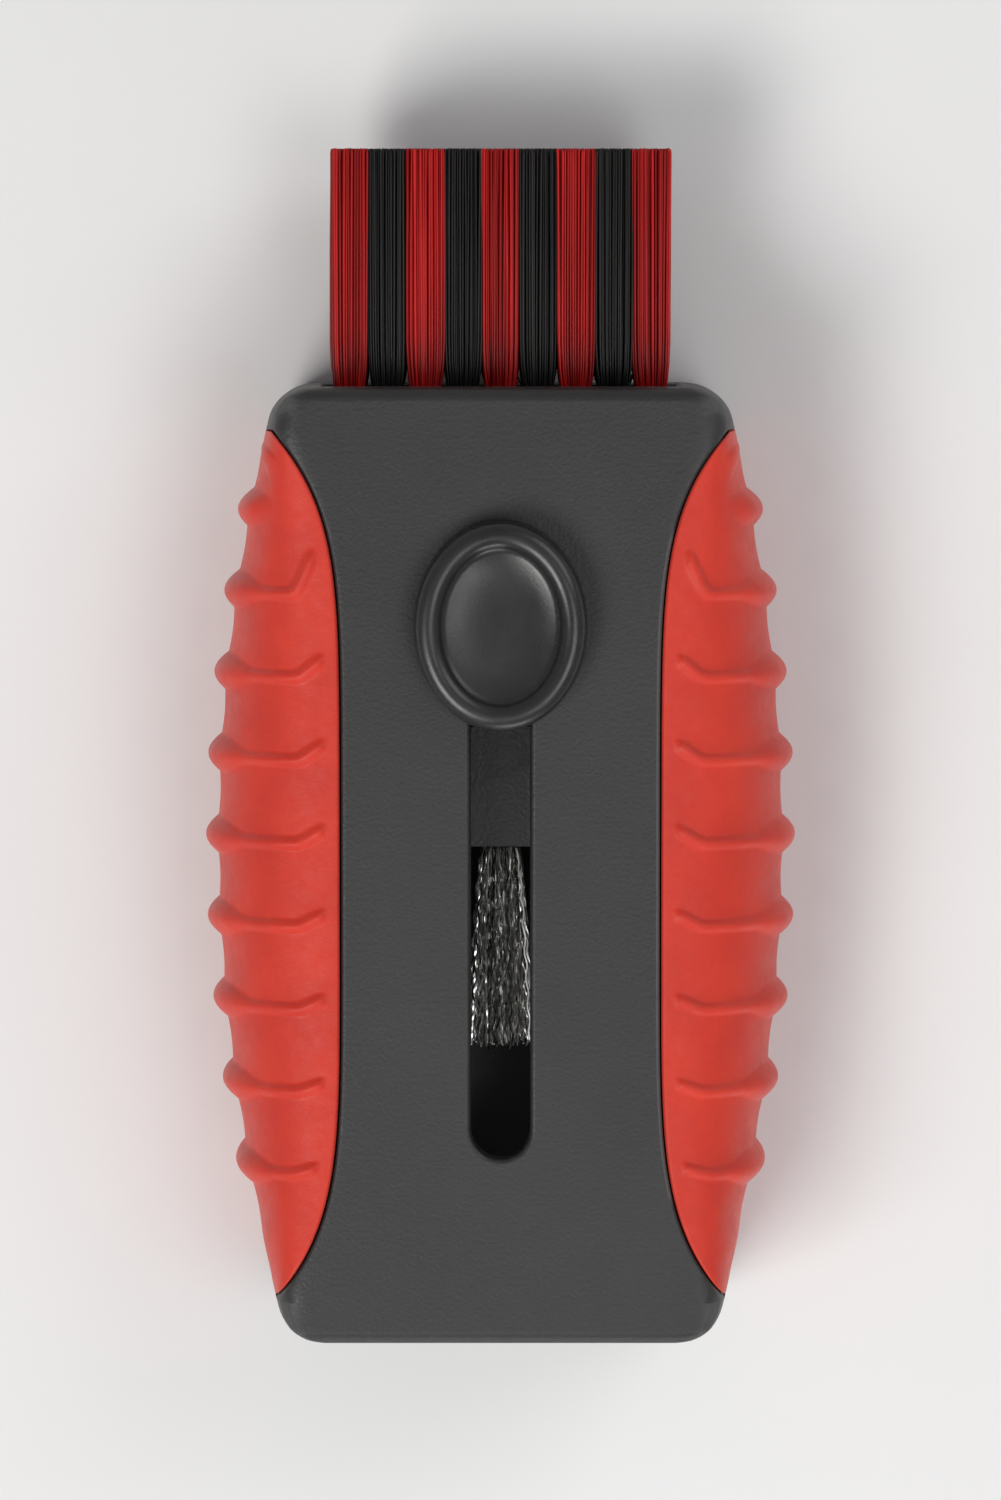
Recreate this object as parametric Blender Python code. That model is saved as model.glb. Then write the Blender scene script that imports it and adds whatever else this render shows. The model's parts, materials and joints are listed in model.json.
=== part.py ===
"""Double-ended pocket brush for golf club grooves, lying on its back.

Origin: centre of the flat back face. +X across the body, +Y towards the nylon brush,
+Z out of the front face that carries the thumb button. Every size is in metres.
A carriage slides along the body: nylon brush out at +Y, or wire brush out at -Y.
"""

import math

import bmesh
import bpy
from mathutils import Matrix, Vector

MM = 0.001
FIT_GAP = 0.3 * MM  # clearance between neighbouring pieces

# Housing
BODY_HALF_LENGTH = 34.0 * MM
THICKNESS = 20.0 * MM
MID_Z = THICKNESS / 2
MID_HALF_WIDTH = 20.4 * MM  # at the belly, the widest place
BELLY_Y = 1.0 * MM
WAIST_DROP = 3.9 * MM  # how far the sides come in from the belly to the grip tips
CORNER_RADIUS = 2.2 * MM
END_EDGE_RADIUS = 1.0 * MM
SIDE_ROUNDNESS = 2.1  # superellipse exponent of the side at mid-length
END_SQUARENESS = 1.5  # what the exponent gains at the ends

# Flat hourglass panel and rubber grips
PANEL_HALF_WIDTH = 11.4 * MM
PANEL_FLARE = 2.6 * MM
LENS_FLARE = 4.8 * MM
LENS_POWER = 6
GRIP_HALF_LENGTH = 30.9 * MM
GRIP_END = 30.4 * MM
GRIP_THICKNESS = 2.2 * MM
RECESS_END = 31.0 * MM
RECESS_STEPS = 16
EDGE_BAND = 1.2 * MM  # strip of the flat panel along its edge
EDGE_STEPS = 4
RIB_COUNT = 9
RIB_PITCH = 5.9 * MM
RIB_CENTRE_Y = 1.75 * MM  # the middle rib
RIB_HALF_LENGTH = 1.25 * MM
RIB_HEIGHT = 0.8 * MM
RIB_FADE_END = 0.15  # cosine of the angle where a rib has died out
RIB_FADE_SPAN = 0.45
RIB_SHARES = (-1.0, -0.8, 0.0, 0.8, 1.0)  # sections along a rib, as shares of its half length
GRIP_TIP_MARKS = (27.0 * MM, 28.7 * MM, 29.8 * MM, GRIP_END)  # sections past the last ribs
END_MARKS = (31.8 * MM, 32.5 * MM, 33.1 * MM, 33.6 * MM, 33.9 * MM, BODY_HALF_LENGTH)
MIN_SIDE_ROUND = 1.3 * MM  # least width of the rounded side beside the panel
MIN_SIDE_BAND = 0.25 * MM
RECESS_WALL = 0.3 * MM  # depth of the step at the recess's edge
CUTTER_OVERSHOOT = 1.0 * MM

# Channel, slot and cores
CHANNEL_HALF_WIDTH = 12.7 * MM
CHANNEL_HALF_HEIGHT = 4.9 * MM
SLOT_HALF_WIDTH = 2.1 * MM
SLOT_HALF_LENGTH = 20.7 * MM
WALL = 2.0 * MM
CORE_HALF_WIDTH = 9.5 * MM
CORE_HALF_LENGTH = 29.0 * MM
REAR_LAND_HALF_WIDTH = 4.5 * MM
SIDE_CORE_INNER_X = 14.0 * MM
SIDE_CORE_OUTER_X = 15.3 * MM
SIDE_CORE_HALF_LENGTH = 5.5 * MM
SIDE_CORE_HALF_HEIGHT = 4.4 * MM

# Housing screws, under the grips
SCREW_X = 15.0 * MM
SCREW_Y = 9.0 * MM
SCREW_RADIUS = 0.9 * MM
SCREW_HEAD_RADIUS = 1.5 * MM
SCREW_HEAD_LENGTH = 1.3 * MM
SCREW_SEAT_Z = 7.6 * MM
SCREW_TIP_Z = 14.5 * MM

# Carriage
CARRIAGE_TOP_Y = 33.5 * MM
CARRIAGE_BOTTOM_Y = 1.1 * MM
CARRIAGE_HALF_HEIGHT = 4.5 * MM
CARRIAGE_MID_Y = (CARRIAGE_TOP_Y + CARRIAGE_BOTTOM_Y) / 2
HEAD_HALF_WIDTH = 12.2 * MM
HEAD_LENGTH = 8.0 * MM
SPINE_HALF_WIDTH = 7.5 * MM
SPINE_RIM = 1.6 * MM  # wall left beside the spine's relief pockets
RELIEF_DEPTH = 2.4 * MM
RELIEF_END_WALL = 0.6 * MM
BUTTON_SEAT_HALF_LENGTH = 4.6 * MM
CORNER_CUT = 0.6 * MM

# Button
BUTTON_HALF_WIDTH = 6.2 * MM
BUTTON_HALF_LENGTH = 7.5 * MM
BUTTON_HEIGHT = 3.0 * MM
BUTTON_RIM = 1.9 * MM
DISH_DEPTH = 1.1 * MM
STEM_HALF_WIDTH = 1.8 * MM
STEM_HALF_LENGTH = 3.1 * MM
BUTTON_CAP_WALL = 0.4 * MM  # between the pilot hole's end and the housing's face
BUTTON_SCREW_RADIUS = 0.8 * MM
BUTTON_SCREW_HEAD_RADIUS = 1.5 * MM
BUTTON_SCREW_HEAD_LENGTH = 1.3 * MM
BUTTON_SCREW_SEAT_Z = MID_Z - 1.5 * MM

# Bristles
NYLON_COLUMNS = 9
NYLON_TIP_Y = 50.9 * MM
NYLON_PITCH = 2.69 * MM
NYLON_WIDTH = 2.36 * MM
NYLON_DEPTH = 8.0 * MM
NYLON_ROOT_WIDTH = 1.5 * MM
NYLON_ROOT_DEPTH = 6.6 * MM
NYLON_HOLE_DEPTH = 4.6 * MM
NYLON_FAN_LENGTH = 2.5 * MM  # the columns spread to full width over this length
NYLON_CORNER = 0.35 * MM
NYLON_ANCHOR_HALF_HEIGHT = 2.7 * MM
WIRE_COLUMNS = 5
WIRE_ROWS = 2
WIRE_TIP_Y = -13.5 * MM
WIRE_PITCH_X = 4.8 * MM
WIRE_PITCH_Z = 4.1 * MM
WIRE_ROOT_RADIUS = 1.1 * MM
WIRE_TIP_RADIUS = 1.75 * MM
WIRE_HOLE_DEPTH = 4.6 * MM
WIRE_SPREAD_LENGTH = 5.0 * MM
WIRE_SIDES = 10
WIRE_HOLE_SIDES = 12
WIRE_ANCHOR_HALF_HEIGHT = 0.9 * MM
ANCHOR_THICKNESS = 0.4 * MM
ANCHOR_LENGTH = 1.0 * MM

# Detent springs
SPRING_HALF_LENGTH = 7.3 * MM
SPRING_HALF_HEIGHT = 1.8 * MM
SPRING_THICKNESS = 0.35 * MM
SPRING_END_X = 9.0 * MM
SPRING_CREST_X = 13.1 * MM
SPRING_STEPS = 16
SPRING_SIDE_ROOM = 0.5 * MM
NOTCH_HALF_LENGTH = 2.6 * MM
NOTCH_DEPTH = 0.9 * MM

# Mesh fineness
SIDE_STEPS = 6
ROUND_SIDES = 16
OVAL_SIDES = 32


# ---------------------------------------------------------------- materials


def material(name, colour, roughness, metallic=0.0):
    mat = bpy.data.materials.get(name)
    if mat is None:
        mat = bpy.data.materials.new(name)
        mat.use_nodes = True
        shader = mat.node_tree.nodes["Principled BSDF"]
        shader.inputs["Base Color"].default_value = (*colour, 1.0)
        shader.inputs["Roughness"].default_value = roughness
        shader.inputs["Metallic"].default_value = metallic
    return mat


def black_plastic():
    return material("black_plastic", (0.035, 0.035, 0.036), 0.5)


def red_rubber():
    return material("red_rubber", (0.62, 0.035, 0.02), 0.6)


def red_nylon():
    return material("red_nylon", (0.45, 0.01, 0.01), 0.4)


def black_nylon():
    return material("black_nylon", (0.02, 0.02, 0.02), 0.4)


def steel():
    return material("steel", (0.6, 0.6, 0.6), 0.35, 1.0)


# ---------------------------------------------------------------- mesh helpers


def slide_axis():
    """The empty on the slide's axis that carries every piece that slides."""
    empty = bpy.data.objects.get("slide_axis")
    if empty is None:
        empty = bpy.data.objects.new("slide_axis", None)
        bpy.context.collection.objects.link(empty)
        empty.location = (0.0, CARRIAGE_MID_Y, MID_Z)
    return empty


def finish_object(name, bm, mat, parent=None):
    """Make an object from bm, faces pointing out, with its origin on its parent if it has one."""
    bmesh.ops.recalc_face_normals(bm, faces=bm.faces)
    mesh = bpy.data.meshes.new(name)
    if parent is not None:
        bmesh.ops.translate(bm, verts=bm.verts, vec=-parent.location)
    bm.to_mesh(mesh)
    bm.free()
    obj = bpy.data.objects.new(name, mesh)
    bpy.context.collection.objects.link(obj)
    obj.parent = parent
    if mat is not None:
        mesh.materials.append(mat)
    mesh.shade_smooth()
    mesh.set_sharp_from_angle(angle=math.radians(35))
    return obj


def loft(bm, rings, open_strip=None, centred=False):
    """Join rings of equal length into a closed body.

    Each end is closed by one face, by a fan about the ring's centre, or by a strip of quads
    between the first open_strip points and the last ones where the ring is a folded band.
    """
    rows = [[bm.verts.new(point) for point in ring] for ring in rings]
    count = len(rows[0])
    for low, high in zip(rows, rows[1:]):
        for i in range(count):
            j = (i + 1) % count
            bm.faces.new((low[i], low[j], high[j], high[i]))
    for row in (rows[0], rows[-1]):
        if centred:
            hub = bm.verts.new(sum((v.co for v in row), Vector()) / count)
            for i in range(count):
                bm.faces.new((row[i], row[(i + 1) % count], hub))
        elif open_strip is None:
            bm.faces.new(row)
        else:
            for i in range(open_strip - 1):
                bm.faces.new((row[i], row[i + 1], row[count - 2 - i], row[count - 1 - i]))


def turned(bm, profile, centre=(0.0, 0.0), sides=ROUND_SIDES):
    """A solid turned about a vertical axis from (z, radius) pairs, bottom to top."""
    rings = []
    for z, radius in profile:
        ring = []
        for i in range(sides):
            angle = 2 * math.pi * i / sides
            x = centre[0] + radius * math.cos(angle)
            y = centre[1] + radius * math.sin(angle)
            ring.append(Vector((x, y, z)))
        rings.append(ring)
    loft(bm, rings)


def box(bm, low, high):
    size = [high[i] - low[i] for i in range(3)]
    centre = [(high[i] + low[i]) / 2 for i in range(3)]
    place = Matrix.Translation(centre) @ Matrix.Diagonal((*size, 1.0))
    bmesh.ops.create_cube(bm, size=1.0, matrix=place)


def rod_along_y(bm, x, z, radius, low, high, sides):
    """A cylinder along Y from low to high."""
    turn = Matrix.Rotation(math.pi / 2, 4, "X")
    place = Matrix.Translation((x, (low + high) / 2, z))
    bmesh.ops.create_cone(
        bm,
        cap_ends=True,
        segments=sides,
        radius1=radius,
        radius2=radius,
        depth=high - low,
        matrix=place @ turn,
    )


def prism(bm, outline, low, high):
    """Extrude a closed outline of (x, y) points from z = low to z = high."""
    bottom = [(x, y, low) for x, y in outline]
    top = [(x, y, high) for x, y in outline]
    loft(bm, [bottom, top])


def cutter(name, build):
    bm = bmesh.new()
    build(bm)
    obj = finish_object(name, bm, None)
    obj.hide_render = True
    obj.display_type = "WIRE"
    return obj


def cut(obj, tool):
    mod = obj.modifiers.new("cut_" + tool.name, "BOOLEAN")
    mod.operation = "DIFFERENCE"
    mod.solver = "EXACT"
    mod.object = tool


# ---------------------------------------------------------------- body section


def lens_share(y):
    return min(abs(y) / GRIP_HALF_LENGTH, 1.0)


def side_x(y):
    """Half width of the body at mid-depth."""
    half = MID_HALF_WIDTH - WAIST_DROP * ((y - BELLY_Y) / GRIP_HALF_LENGTH) ** 2
    over = abs(y) - (BODY_HALF_LENGTH - CORNER_RADIUS)
    if over > 0:
        half -= CORNER_RADIUS - math.sqrt(max(CORNER_RADIUS**2 - over**2, 0.0))
    return half


def panel_x(y):
    """Half width of the flat panel."""
    flat = PANEL_HALF_WIDTH + PANEL_FLARE * lens_share(y) ** LENS_POWER
    return min(flat, side_x(y) - MIN_SIDE_ROUND)


def lens_x(y):
    """Inner edge of the rubber grip."""
    return PANEL_HALF_WIDTH + LENS_FLARE * lens_share(y) ** LENS_POWER


def half_depth(y):
    over = abs(y) - (BODY_HALF_LENGTH - END_EDGE_RADIUS)
    if over <= 0:
        return MID_Z
    drop = END_EDGE_RADIUS - math.sqrt(max(END_EDGE_RADIUS**2 - over**2, 0.0))
    return MID_Z - drop


def roundness(y):
    return SIDE_ROUNDNESS + END_SQUARENESS * lens_share(y) ** 4


def side_point(y, angle, inset=0.0):
    """A point of the side's section: angle runs from 90 degrees at the front face to -90."""
    power = 2 / roundness(y)
    reach = side_x(y) - panel_x(y) - inset
    depth = half_depth(y) - inset
    x = panel_x(y) + reach * abs(math.cos(angle)) ** power
    z = math.copysign(depth * abs(math.sin(angle)) ** power, angle)
    return x, z


def lens_angle(y):
    """The angle at which the grip's edge lies on the body's side."""
    share = (lens_x(y) - panel_x(y)) / (side_x(y) - panel_x(y))
    if share <= 0:
        return math.pi / 2
    return math.acos(min(share, 1.0) ** (roundness(y) / 2))


def surface_depth(y, x):
    """Height of the body's surface above mid-depth, at x."""
    depth = half_depth(y)
    past = x - panel_x(y)
    if past <= 0:
        return depth
    share = min(past / (side_x(y) - panel_x(y)), 1.0)
    power = roundness(y)
    return depth * (1 - share**power) ** (1 / power)


def body_ring(y, recessed):
    """A section of the housing: the flat panels, and between them the side or the grip's recess."""
    edge = min(lens_x(y) - FIT_GAP, side_x(y) - MIN_SIDE_BAND)
    start = panel_x(y) - EDGE_BAND
    top = []
    for i in range(EDGE_STEPS + 1):
        x = start + (edge - start) * i / EDGE_STEPS
        top.append((x, surface_depth(y, x)))
    limit = math.asin(min(top[-1][1] / half_depth(y), 1.0) ** (roundness(y) / 2))
    side = []
    count = 2 * SIDE_STEPS + 1
    for i in range(count):
        if recessed:
            angle = math.pi / 2 * (1 - i / SIDE_STEPS)
            x, z = side_point(y, angle, inset=GRIP_THICKNESS + FIT_GAP)
            wall = top[-1][1] - RECESS_WALL
            side.append((max(edge, x), max(-wall, min(wall, z))))
        else:
            side.append(side_point(y, limit * (1 - 2 * (i + 0.5) / count)))
    right = top + side + [(x, -z) for x, z in reversed(top)]
    ring = [Vector((x, y, MID_Z + z)) for x, z in right]
    ring += [Vector((-x, y, MID_Z + z)) for x, z in reversed(right)]
    return ring


def body_rings():
    """Sections from end to end, with a step where the recess for the grips begins."""
    half = [(i * RECESS_END / RECESS_STEPS, True) for i in range(RECESS_STEPS + 1)]
    half.append((RECESS_END + 0.05 * MM, False))
    half += [(y, False) for y in END_MARKS]
    stations = [(-y, recessed) for y, recessed in reversed(half[1:])] + half
    return [body_ring(y, recessed) for y, recessed in stations]


def rib_lift(y, angle):
    """How far a rib stands proud: a row of round-topped bars, fading towards the grip's edge."""
    nearest = round((y - RIB_CENTRE_Y) / RIB_PITCH)
    if abs(nearest) > RIB_COUNT // 2:
        return 0.0
    away = abs(y - RIB_CENTRE_Y - nearest * RIB_PITCH) / RIB_HALF_LENGTH
    if away >= 1.0:
        return 0.0
    along = math.sqrt(1 - away**2)
    across = max(0.0, min(1.0, (abs(math.cos(angle)) - RIB_FADE_END) / RIB_FADE_SPAN))
    return RIB_HEIGHT * along * across * across * (3 - 2 * across)


def grip_ring(y, side):
    """A band of the lens: outer curve from front to back, then the inner curve back to front."""
    edge = lens_x(y)
    limit = lens_angle(y)
    outer = []
    inner = []
    for i in range(2 * SIDE_STEPS + 1):
        angle = limit * (1 - i / SIDE_STEPS)
        lift = rib_lift(y, angle)
        x, z = side_point(y, angle)
        outer.append((x + lift * math.cos(angle), z + lift * math.sin(angle)))
        full_angle = math.pi / 2 * (1 - i / SIDE_STEPS)
        inner_x, inner_z = side_point(y, full_angle, inset=GRIP_THICKNESS)
        reach = abs(outer[0][1]) * (1 - 0.02 * (1 + i % 2))
        inner_z = max(-reach, min(reach, inner_z))
        inner.append((max(edge, inner_x), inner_z))
    points = outer + inner[::-1]
    return [Vector((side * x, y, MID_Z + z)) for x, z in points]


def grip_stations():
    """Rings close together over each rib, and few between ribs."""
    marks = {0.0}
    for n in range(-(RIB_COUNT // 2), RIB_COUNT // 2 + 1):
        middle = RIB_CENTRE_Y + n * RIB_PITCH
        for share in RIB_SHARES:
            marks.add(round(middle + share * RIB_HALF_LENGTH, 6))
    for y in GRIP_TIP_MARKS:
        marks.update((round(-y, 6), round(y, 6)))
    return sorted(mark for mark in marks if abs(mark) <= GRIP_END)


# ---------------------------------------------------------------- housing


def stadium(half_width, half_length, steps=8):
    points = []
    straight = half_length - half_width
    for end in (1, -1):
        for i in range(steps + 1):
            angle = math.pi * i / steps + (0 if end > 0 else math.pi)
            points.append((half_width * math.cos(angle), end * straight + half_width * math.sin(angle)))
    return points


def channel_cutter():
    over = BODY_HALF_LENGTH + CUTTER_OVERSHOOT
    low = MID_Z - CHANNEL_HALF_HEIGHT
    high = MID_Z + CHANNEL_HALF_HEIGHT

    def build(bm):
        box(bm, (-CHANNEL_HALF_WIDTH, -over, low), (CHANNEL_HALF_WIDTH, over, high))

    return cutter("channel", build)


def notch_cutter():
    """Pockets in the channel's side walls for the detent springs' crests."""
    lower_y = CARRIAGE_MID_Y - stroke()
    reach = CHANNEL_HALF_WIDTH + NOTCH_DEPTH
    half_height = SPRING_HALF_HEIGHT + SPRING_SIDE_ROOM

    def build(bm):
        for y in (CARRIAGE_MID_Y, lower_y):
            for side in (1, -1):
                near = side * (CHANNEL_HALF_WIDTH - CUTTER_OVERSHOOT / 2)
                far = side * reach
                low = (min(near, far), y - NOTCH_HALF_LENGTH, MID_Z - half_height)
                high = (max(near, far), y + NOTCH_HALF_LENGTH, MID_Z + half_height)
                box(bm, low, high)

    return cutter("detent_notches", build)


def side_core_cutter():
    """Cores between the screws, which keep the side walls even."""

    def build(bm):
        for side in (1, -1):
            xs = sorted((side * SIDE_CORE_INNER_X, side * SIDE_CORE_OUTER_X))
            low = (xs[0], -SIDE_CORE_HALF_LENGTH, MID_Z - SIDE_CORE_HALF_HEIGHT)
            high = (xs[1], SIDE_CORE_HALF_LENGTH, MID_Z + SIDE_CORE_HALF_HEIGHT)
            box(bm, low, high)

    return cutter("side_cores", build)


def screw_hole_cutter():
    """Stepped holes: a counterbore from the back, then the screw's own hole."""
    head_hole = SCREW_HEAD_RADIUS + FIT_GAP
    hole = SCREW_RADIUS + FIT_GAP
    end = SCREW_TIP_Z + FIT_GAP
    seat = SCREW_SEAT_Z
    profile = ((-CUTTER_OVERSHOOT, head_hole), (seat, head_hole), (seat, hole), (end, hole))

    def build(bm):
        for x in (-SCREW_X, SCREW_X):
            for y in (-SCREW_Y, SCREW_Y):
                turned(bm, profile, (x, y))

    return cutter("screw_holes", build)


def front_core_cutter():
    def build(bm):
        low = MID_Z + CHANNEL_HALF_HEIGHT - CUTTER_OVERSHOOT
        box(
            bm,
            (-CORE_HALF_WIDTH, -CORE_HALF_LENGTH, low),
            (CORE_HALF_WIDTH, CORE_HALF_LENGTH, THICKNESS - WALL),
        )

    return cutter("front_core", build)


def rear_core_cutter():
    def build(bm):
        high = MID_Z - CHANNEL_HALF_HEIGHT + CUTTER_OVERSHOOT
        for side in (1, -1):
            xs = sorted((side * REAR_LAND_HALF_WIDTH, side * CORE_HALF_WIDTH))
            box(bm, (xs[0], -CORE_HALF_LENGTH, WALL), (xs[1], CORE_HALF_LENGTH, high))

    return cutter("rear_cores", build)


def slot_cutter():
    def build(bm):
        outline = stadium(SLOT_HALF_WIDTH, SLOT_HALF_LENGTH)
        prism(bm, outline, MID_Z + 2 * MM, THICKNESS + CUTTER_OVERSHOOT)

    return cutter("thumb_slot", build)


def half_cutter(name, low, high):
    far = BODY_HALF_LENGTH + 6 * MM

    def build(bm):
        box(bm, (-far, -far, low), (far, far, high))

    return cutter(name, build)


def shell(name):
    bm = bmesh.new()
    loft(bm, body_rings(), centred=True)
    bmesh.ops.triangulate(bm, faces=bm.faces)
    return finish_object(name, bm, black_plastic())


def housing():
    front = shell("front_shell")
    rear = shell("rear_shell")
    parting = FIT_GAP / 2
    cut(front, half_cutter("below_parting", -10 * MM, MID_Z + parting))
    cut(rear, half_cutter("above_parting", MID_Z - parting, THICKNESS + 10 * MM))
    shared = [
        channel_cutter(),
        notch_cutter(),
        side_core_cutter(),
        screw_hole_cutter(),
    ]
    for tool in shared:
        cut(front, tool)
        cut(rear, tool)
    cut(front, front_core_cutter())
    cut(front, slot_cutter())
    cut(rear, rear_core_cutter())


def grips():
    for side, name in ((-1, "left_grip"), (1, "right_grip")):
        bm = bmesh.new()
        rings = [grip_ring(y, side) for y in grip_stations()]
        loft(bm, rings, open_strip=2 * SIDE_STEPS + 1)
        finish_object(name, bm, red_rubber())


def screw(name, place, seat_z, head_radius, radius, head_length, tip_z, parent=None):
    """A pan-head screw standing on its head."""
    profile = (
        (seat_z - head_length, head_radius * 0.72),
        (seat_z - head_length * 0.75, head_radius),
        (seat_z, head_radius),
        (seat_z, radius),
        (tip_z - 1.2 * radius, radius),
        (tip_z, radius * 0.25),
    )
    bm = bmesh.new()
    turned(bm, profile, place)
    finish_object(name, bm, steel(), parent)


def housing_screws():
    seat = SCREW_SEAT_Z - FIT_GAP
    number = 1
    for y in (SCREW_Y, -SCREW_Y):
        for x in (-SCREW_X, SCREW_X):
            name = f"housing_screw_{number}"
            head = SCREW_HEAD_RADIUS
            screw(name, (x, y), seat, head, SCREW_RADIUS, SCREW_HEAD_LENGTH, SCREW_TIP_Z)
            number += 1


# ---------------------------------------------------------------- carriage


def stroke():
    """Travel that brings the carriage to the same place at the other mouth."""
    return CARRIAGE_TOP_Y + CARRIAGE_BOTTOM_Y


def nylon_x(column):
    return (column - (NYLON_COLUMNS - 1) / 2) * NYLON_PITCH


def wire_places():
    for column in range(WIRE_COLUMNS):
        for row in range(WIRE_ROWS):
            x = (column - (WIRE_COLUMNS - 1) / 2) * WIRE_PITCH_X
            z = MID_Z + (row - (WIRE_ROWS - 1) / 2) * WIRE_PITCH_Z
            yield x, z


def tuft_hole_cutter():
    nylon_floor = CARRIAGE_TOP_Y - NYLON_HOLE_DEPTH
    wire_floor = CARRIAGE_BOTTOM_Y + WIRE_HOLE_DEPTH
    half_x = NYLON_ROOT_WIDTH / 2 + FIT_GAP
    half_z = NYLON_ROOT_DEPTH / 2 + FIT_GAP

    def build(bm):
        for column in range(NYLON_COLUMNS):
            x = nylon_x(column)
            low = (x - half_x, nylon_floor, MID_Z - half_z)
            high = (x + half_x, CARRIAGE_TOP_Y + CUTTER_OVERSHOOT, MID_Z + half_z)
            box(bm, low, high)
        for x, z in wire_places():
            hole = WIRE_ROOT_RADIUS + FIT_GAP
            low = CARRIAGE_BOTTOM_Y - CUTTER_OVERSHOOT
            rod_along_y(bm, x, z, hole, low, wire_floor, WIRE_HOLE_SIDES)

    return cutter("tuft_holes", build)


def button_screw_cutter():
    """A stepped hole through the spine, open to the back."""
    head_hole = BUTTON_SCREW_HEAD_RADIUS + FIT_GAP
    hole = BUTTON_SCREW_RADIUS + FIT_GAP
    low = MID_Z - CARRIAGE_HALF_HEIGHT - CUTTER_OVERSHOOT
    high = MID_Z + CARRIAGE_HALF_HEIGHT + CUTTER_OVERSHOOT
    seat = BUTTON_SCREW_SEAT_Z
    profile = ((low, head_hole), (seat, head_hole), (seat, hole), (high, hole))

    def build(bm):
        turned(bm, profile, (0, CARRIAGE_MID_Y))

    return cutter("button_screw_hole", build)


def relief_cutter():
    """Shallow pockets in both faces of the spine, beside the button's seat."""
    reach = (CARRIAGE_TOP_Y - CARRIAGE_BOTTOM_Y) / 2 - HEAD_LENGTH - RELIEF_END_WALL
    half_x = SPINE_HALF_WIDTH - SPINE_RIM
    floor = CARRIAGE_HALF_HEIGHT - RELIEF_DEPTH
    above = CARRIAGE_HALF_HEIGHT + CUTTER_OVERSHOOT

    def build(bm):
        for face in (1, -1):
            zs = sorted((MID_Z + face * floor, MID_Z + face * above))
            for end in (1, -1):
                seat = CARRIAGE_MID_Y + end * BUTTON_SEAT_HALF_LENGTH
                ys = sorted((seat, CARRIAGE_MID_Y + end * reach))
                box(bm, (-half_x, ys[0], zs[0]), (half_x, ys[1], zs[1]))

    return cutter("spine_relief", build)


def carriage_outline():
    """A dumbbell: two wide heads on a narrow spine, with small corner cuts."""
    nose = CORNER_CUT
    shoulder = CARRIAGE_TOP_Y - CARRIAGE_MID_Y - HEAD_LENGTH
    end = CARRIAGE_TOP_Y - CARRIAGE_MID_Y
    quarter = [
        (SPINE_HALF_WIDTH, 0.0),
        (SPINE_HALF_WIDTH, shoulder - nose),
        (SPINE_HALF_WIDTH + nose, shoulder),
        (HEAD_HALF_WIDTH, shoulder),
        (HEAD_HALF_WIDTH, end - nose),
        (HEAD_HALF_WIDTH - nose, end),
    ]
    upper = quarter + [(-x, y) for x, y in reversed(quarter)]
    lower = [(-x, -y) for x, y in quarter[1:]] + [(x, -y) for x, y in reversed(quarter[1:])]
    return [(x, CARRIAGE_MID_Y + y) for x, y in upper + lower]


def carriage():
    bm = bmesh.new()
    low = MID_Z - CARRIAGE_HALF_HEIGHT
    high = MID_Z + CARRIAGE_HALF_HEIGHT
    prism(bm, carriage_outline(), low, high)
    obj = finish_object("brush_carriage", bm, black_plastic(), slide_axis())
    cut(obj, tuft_hole_cutter())
    cut(obj, relief_cutter())
    cut(obj, button_screw_cutter())


def oval_ring(half_x, half_y, z):
    ring = []
    for i in range(OVAL_SIDES):
        angle = 2 * math.pi * (i + 0.5) / OVAL_SIDES
        x = half_x * math.cos(angle)
        y = half_y * math.sin(angle)
        ring.append(Vector((x, CARRIAGE_MID_Y + y, z)))
    return ring


def stem_ring(z):
    """A round-ended bar, with its points in step with those of an oval ring."""
    straight = STEM_HALF_LENGTH - STEM_HALF_WIDTH
    ring = []
    for i in range(OVAL_SIDES):
        angle = 2 * math.pi * (i + 0.5) / OVAL_SIDES
        x = STEM_HALF_WIDTH * math.cos(angle)
        y = math.copysign(straight, math.sin(angle)) + STEM_HALF_WIDTH * math.sin(angle)
        ring.append(Vector((x, CARRIAGE_MID_Y + y, z)))
    return ring


def thumb_button():
    """A stem through the slot that widens into an oval pad with a rim and a dish."""
    face = THICKNESS + FIT_GAP
    crown = THICKNESS + BUTTON_HEIGHT
    foot = MID_Z + CARRIAGE_HALF_HEIGHT + FIT_GAP
    wide = BUTTON_HALF_WIDTH
    long = BUTTON_HALF_LENGTH
    rings = [
        stem_ring(foot),
        stem_ring(face),
        oval_ring(wide - 0.3 * MM, long - 0.3 * MM, face),
        oval_ring(wide, long, face + 0.3 * MM),
        oval_ring(wide - 0.2 * MM, long - 0.2 * MM, crown - 1.0 * MM),
        oval_ring(wide - 0.6 * MM, long - 0.6 * MM, crown - 0.3 * MM),
        oval_ring(wide - 1.1 * MM, long - 1.1 * MM, crown),
        oval_ring(wide - BUTTON_RIM, long - BUTTON_RIM, crown - 0.3 * MM),
        oval_ring(wide - BUTTON_RIM - 0.4 * MM, long - BUTTON_RIM - 0.4 * MM, crown - 0.75 * MM),
        oval_ring(wide * 0.35, long * 0.35, crown - DISH_DEPTH),
    ]
    bm = bmesh.new()
    loft(bm, rings)
    obj = finish_object("thumb_button", bm, black_plastic(), slide_axis())

    def build(tool):
        hole = BUTTON_SCREW_RADIUS + FIT_GAP
        turned(tool, ((MID_Z, hole), (THICKNESS - BUTTON_CAP_WALL, hole)), (0, CARRIAGE_MID_Y))

    cut(obj, cutter("button_pilot_hole", build))


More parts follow.
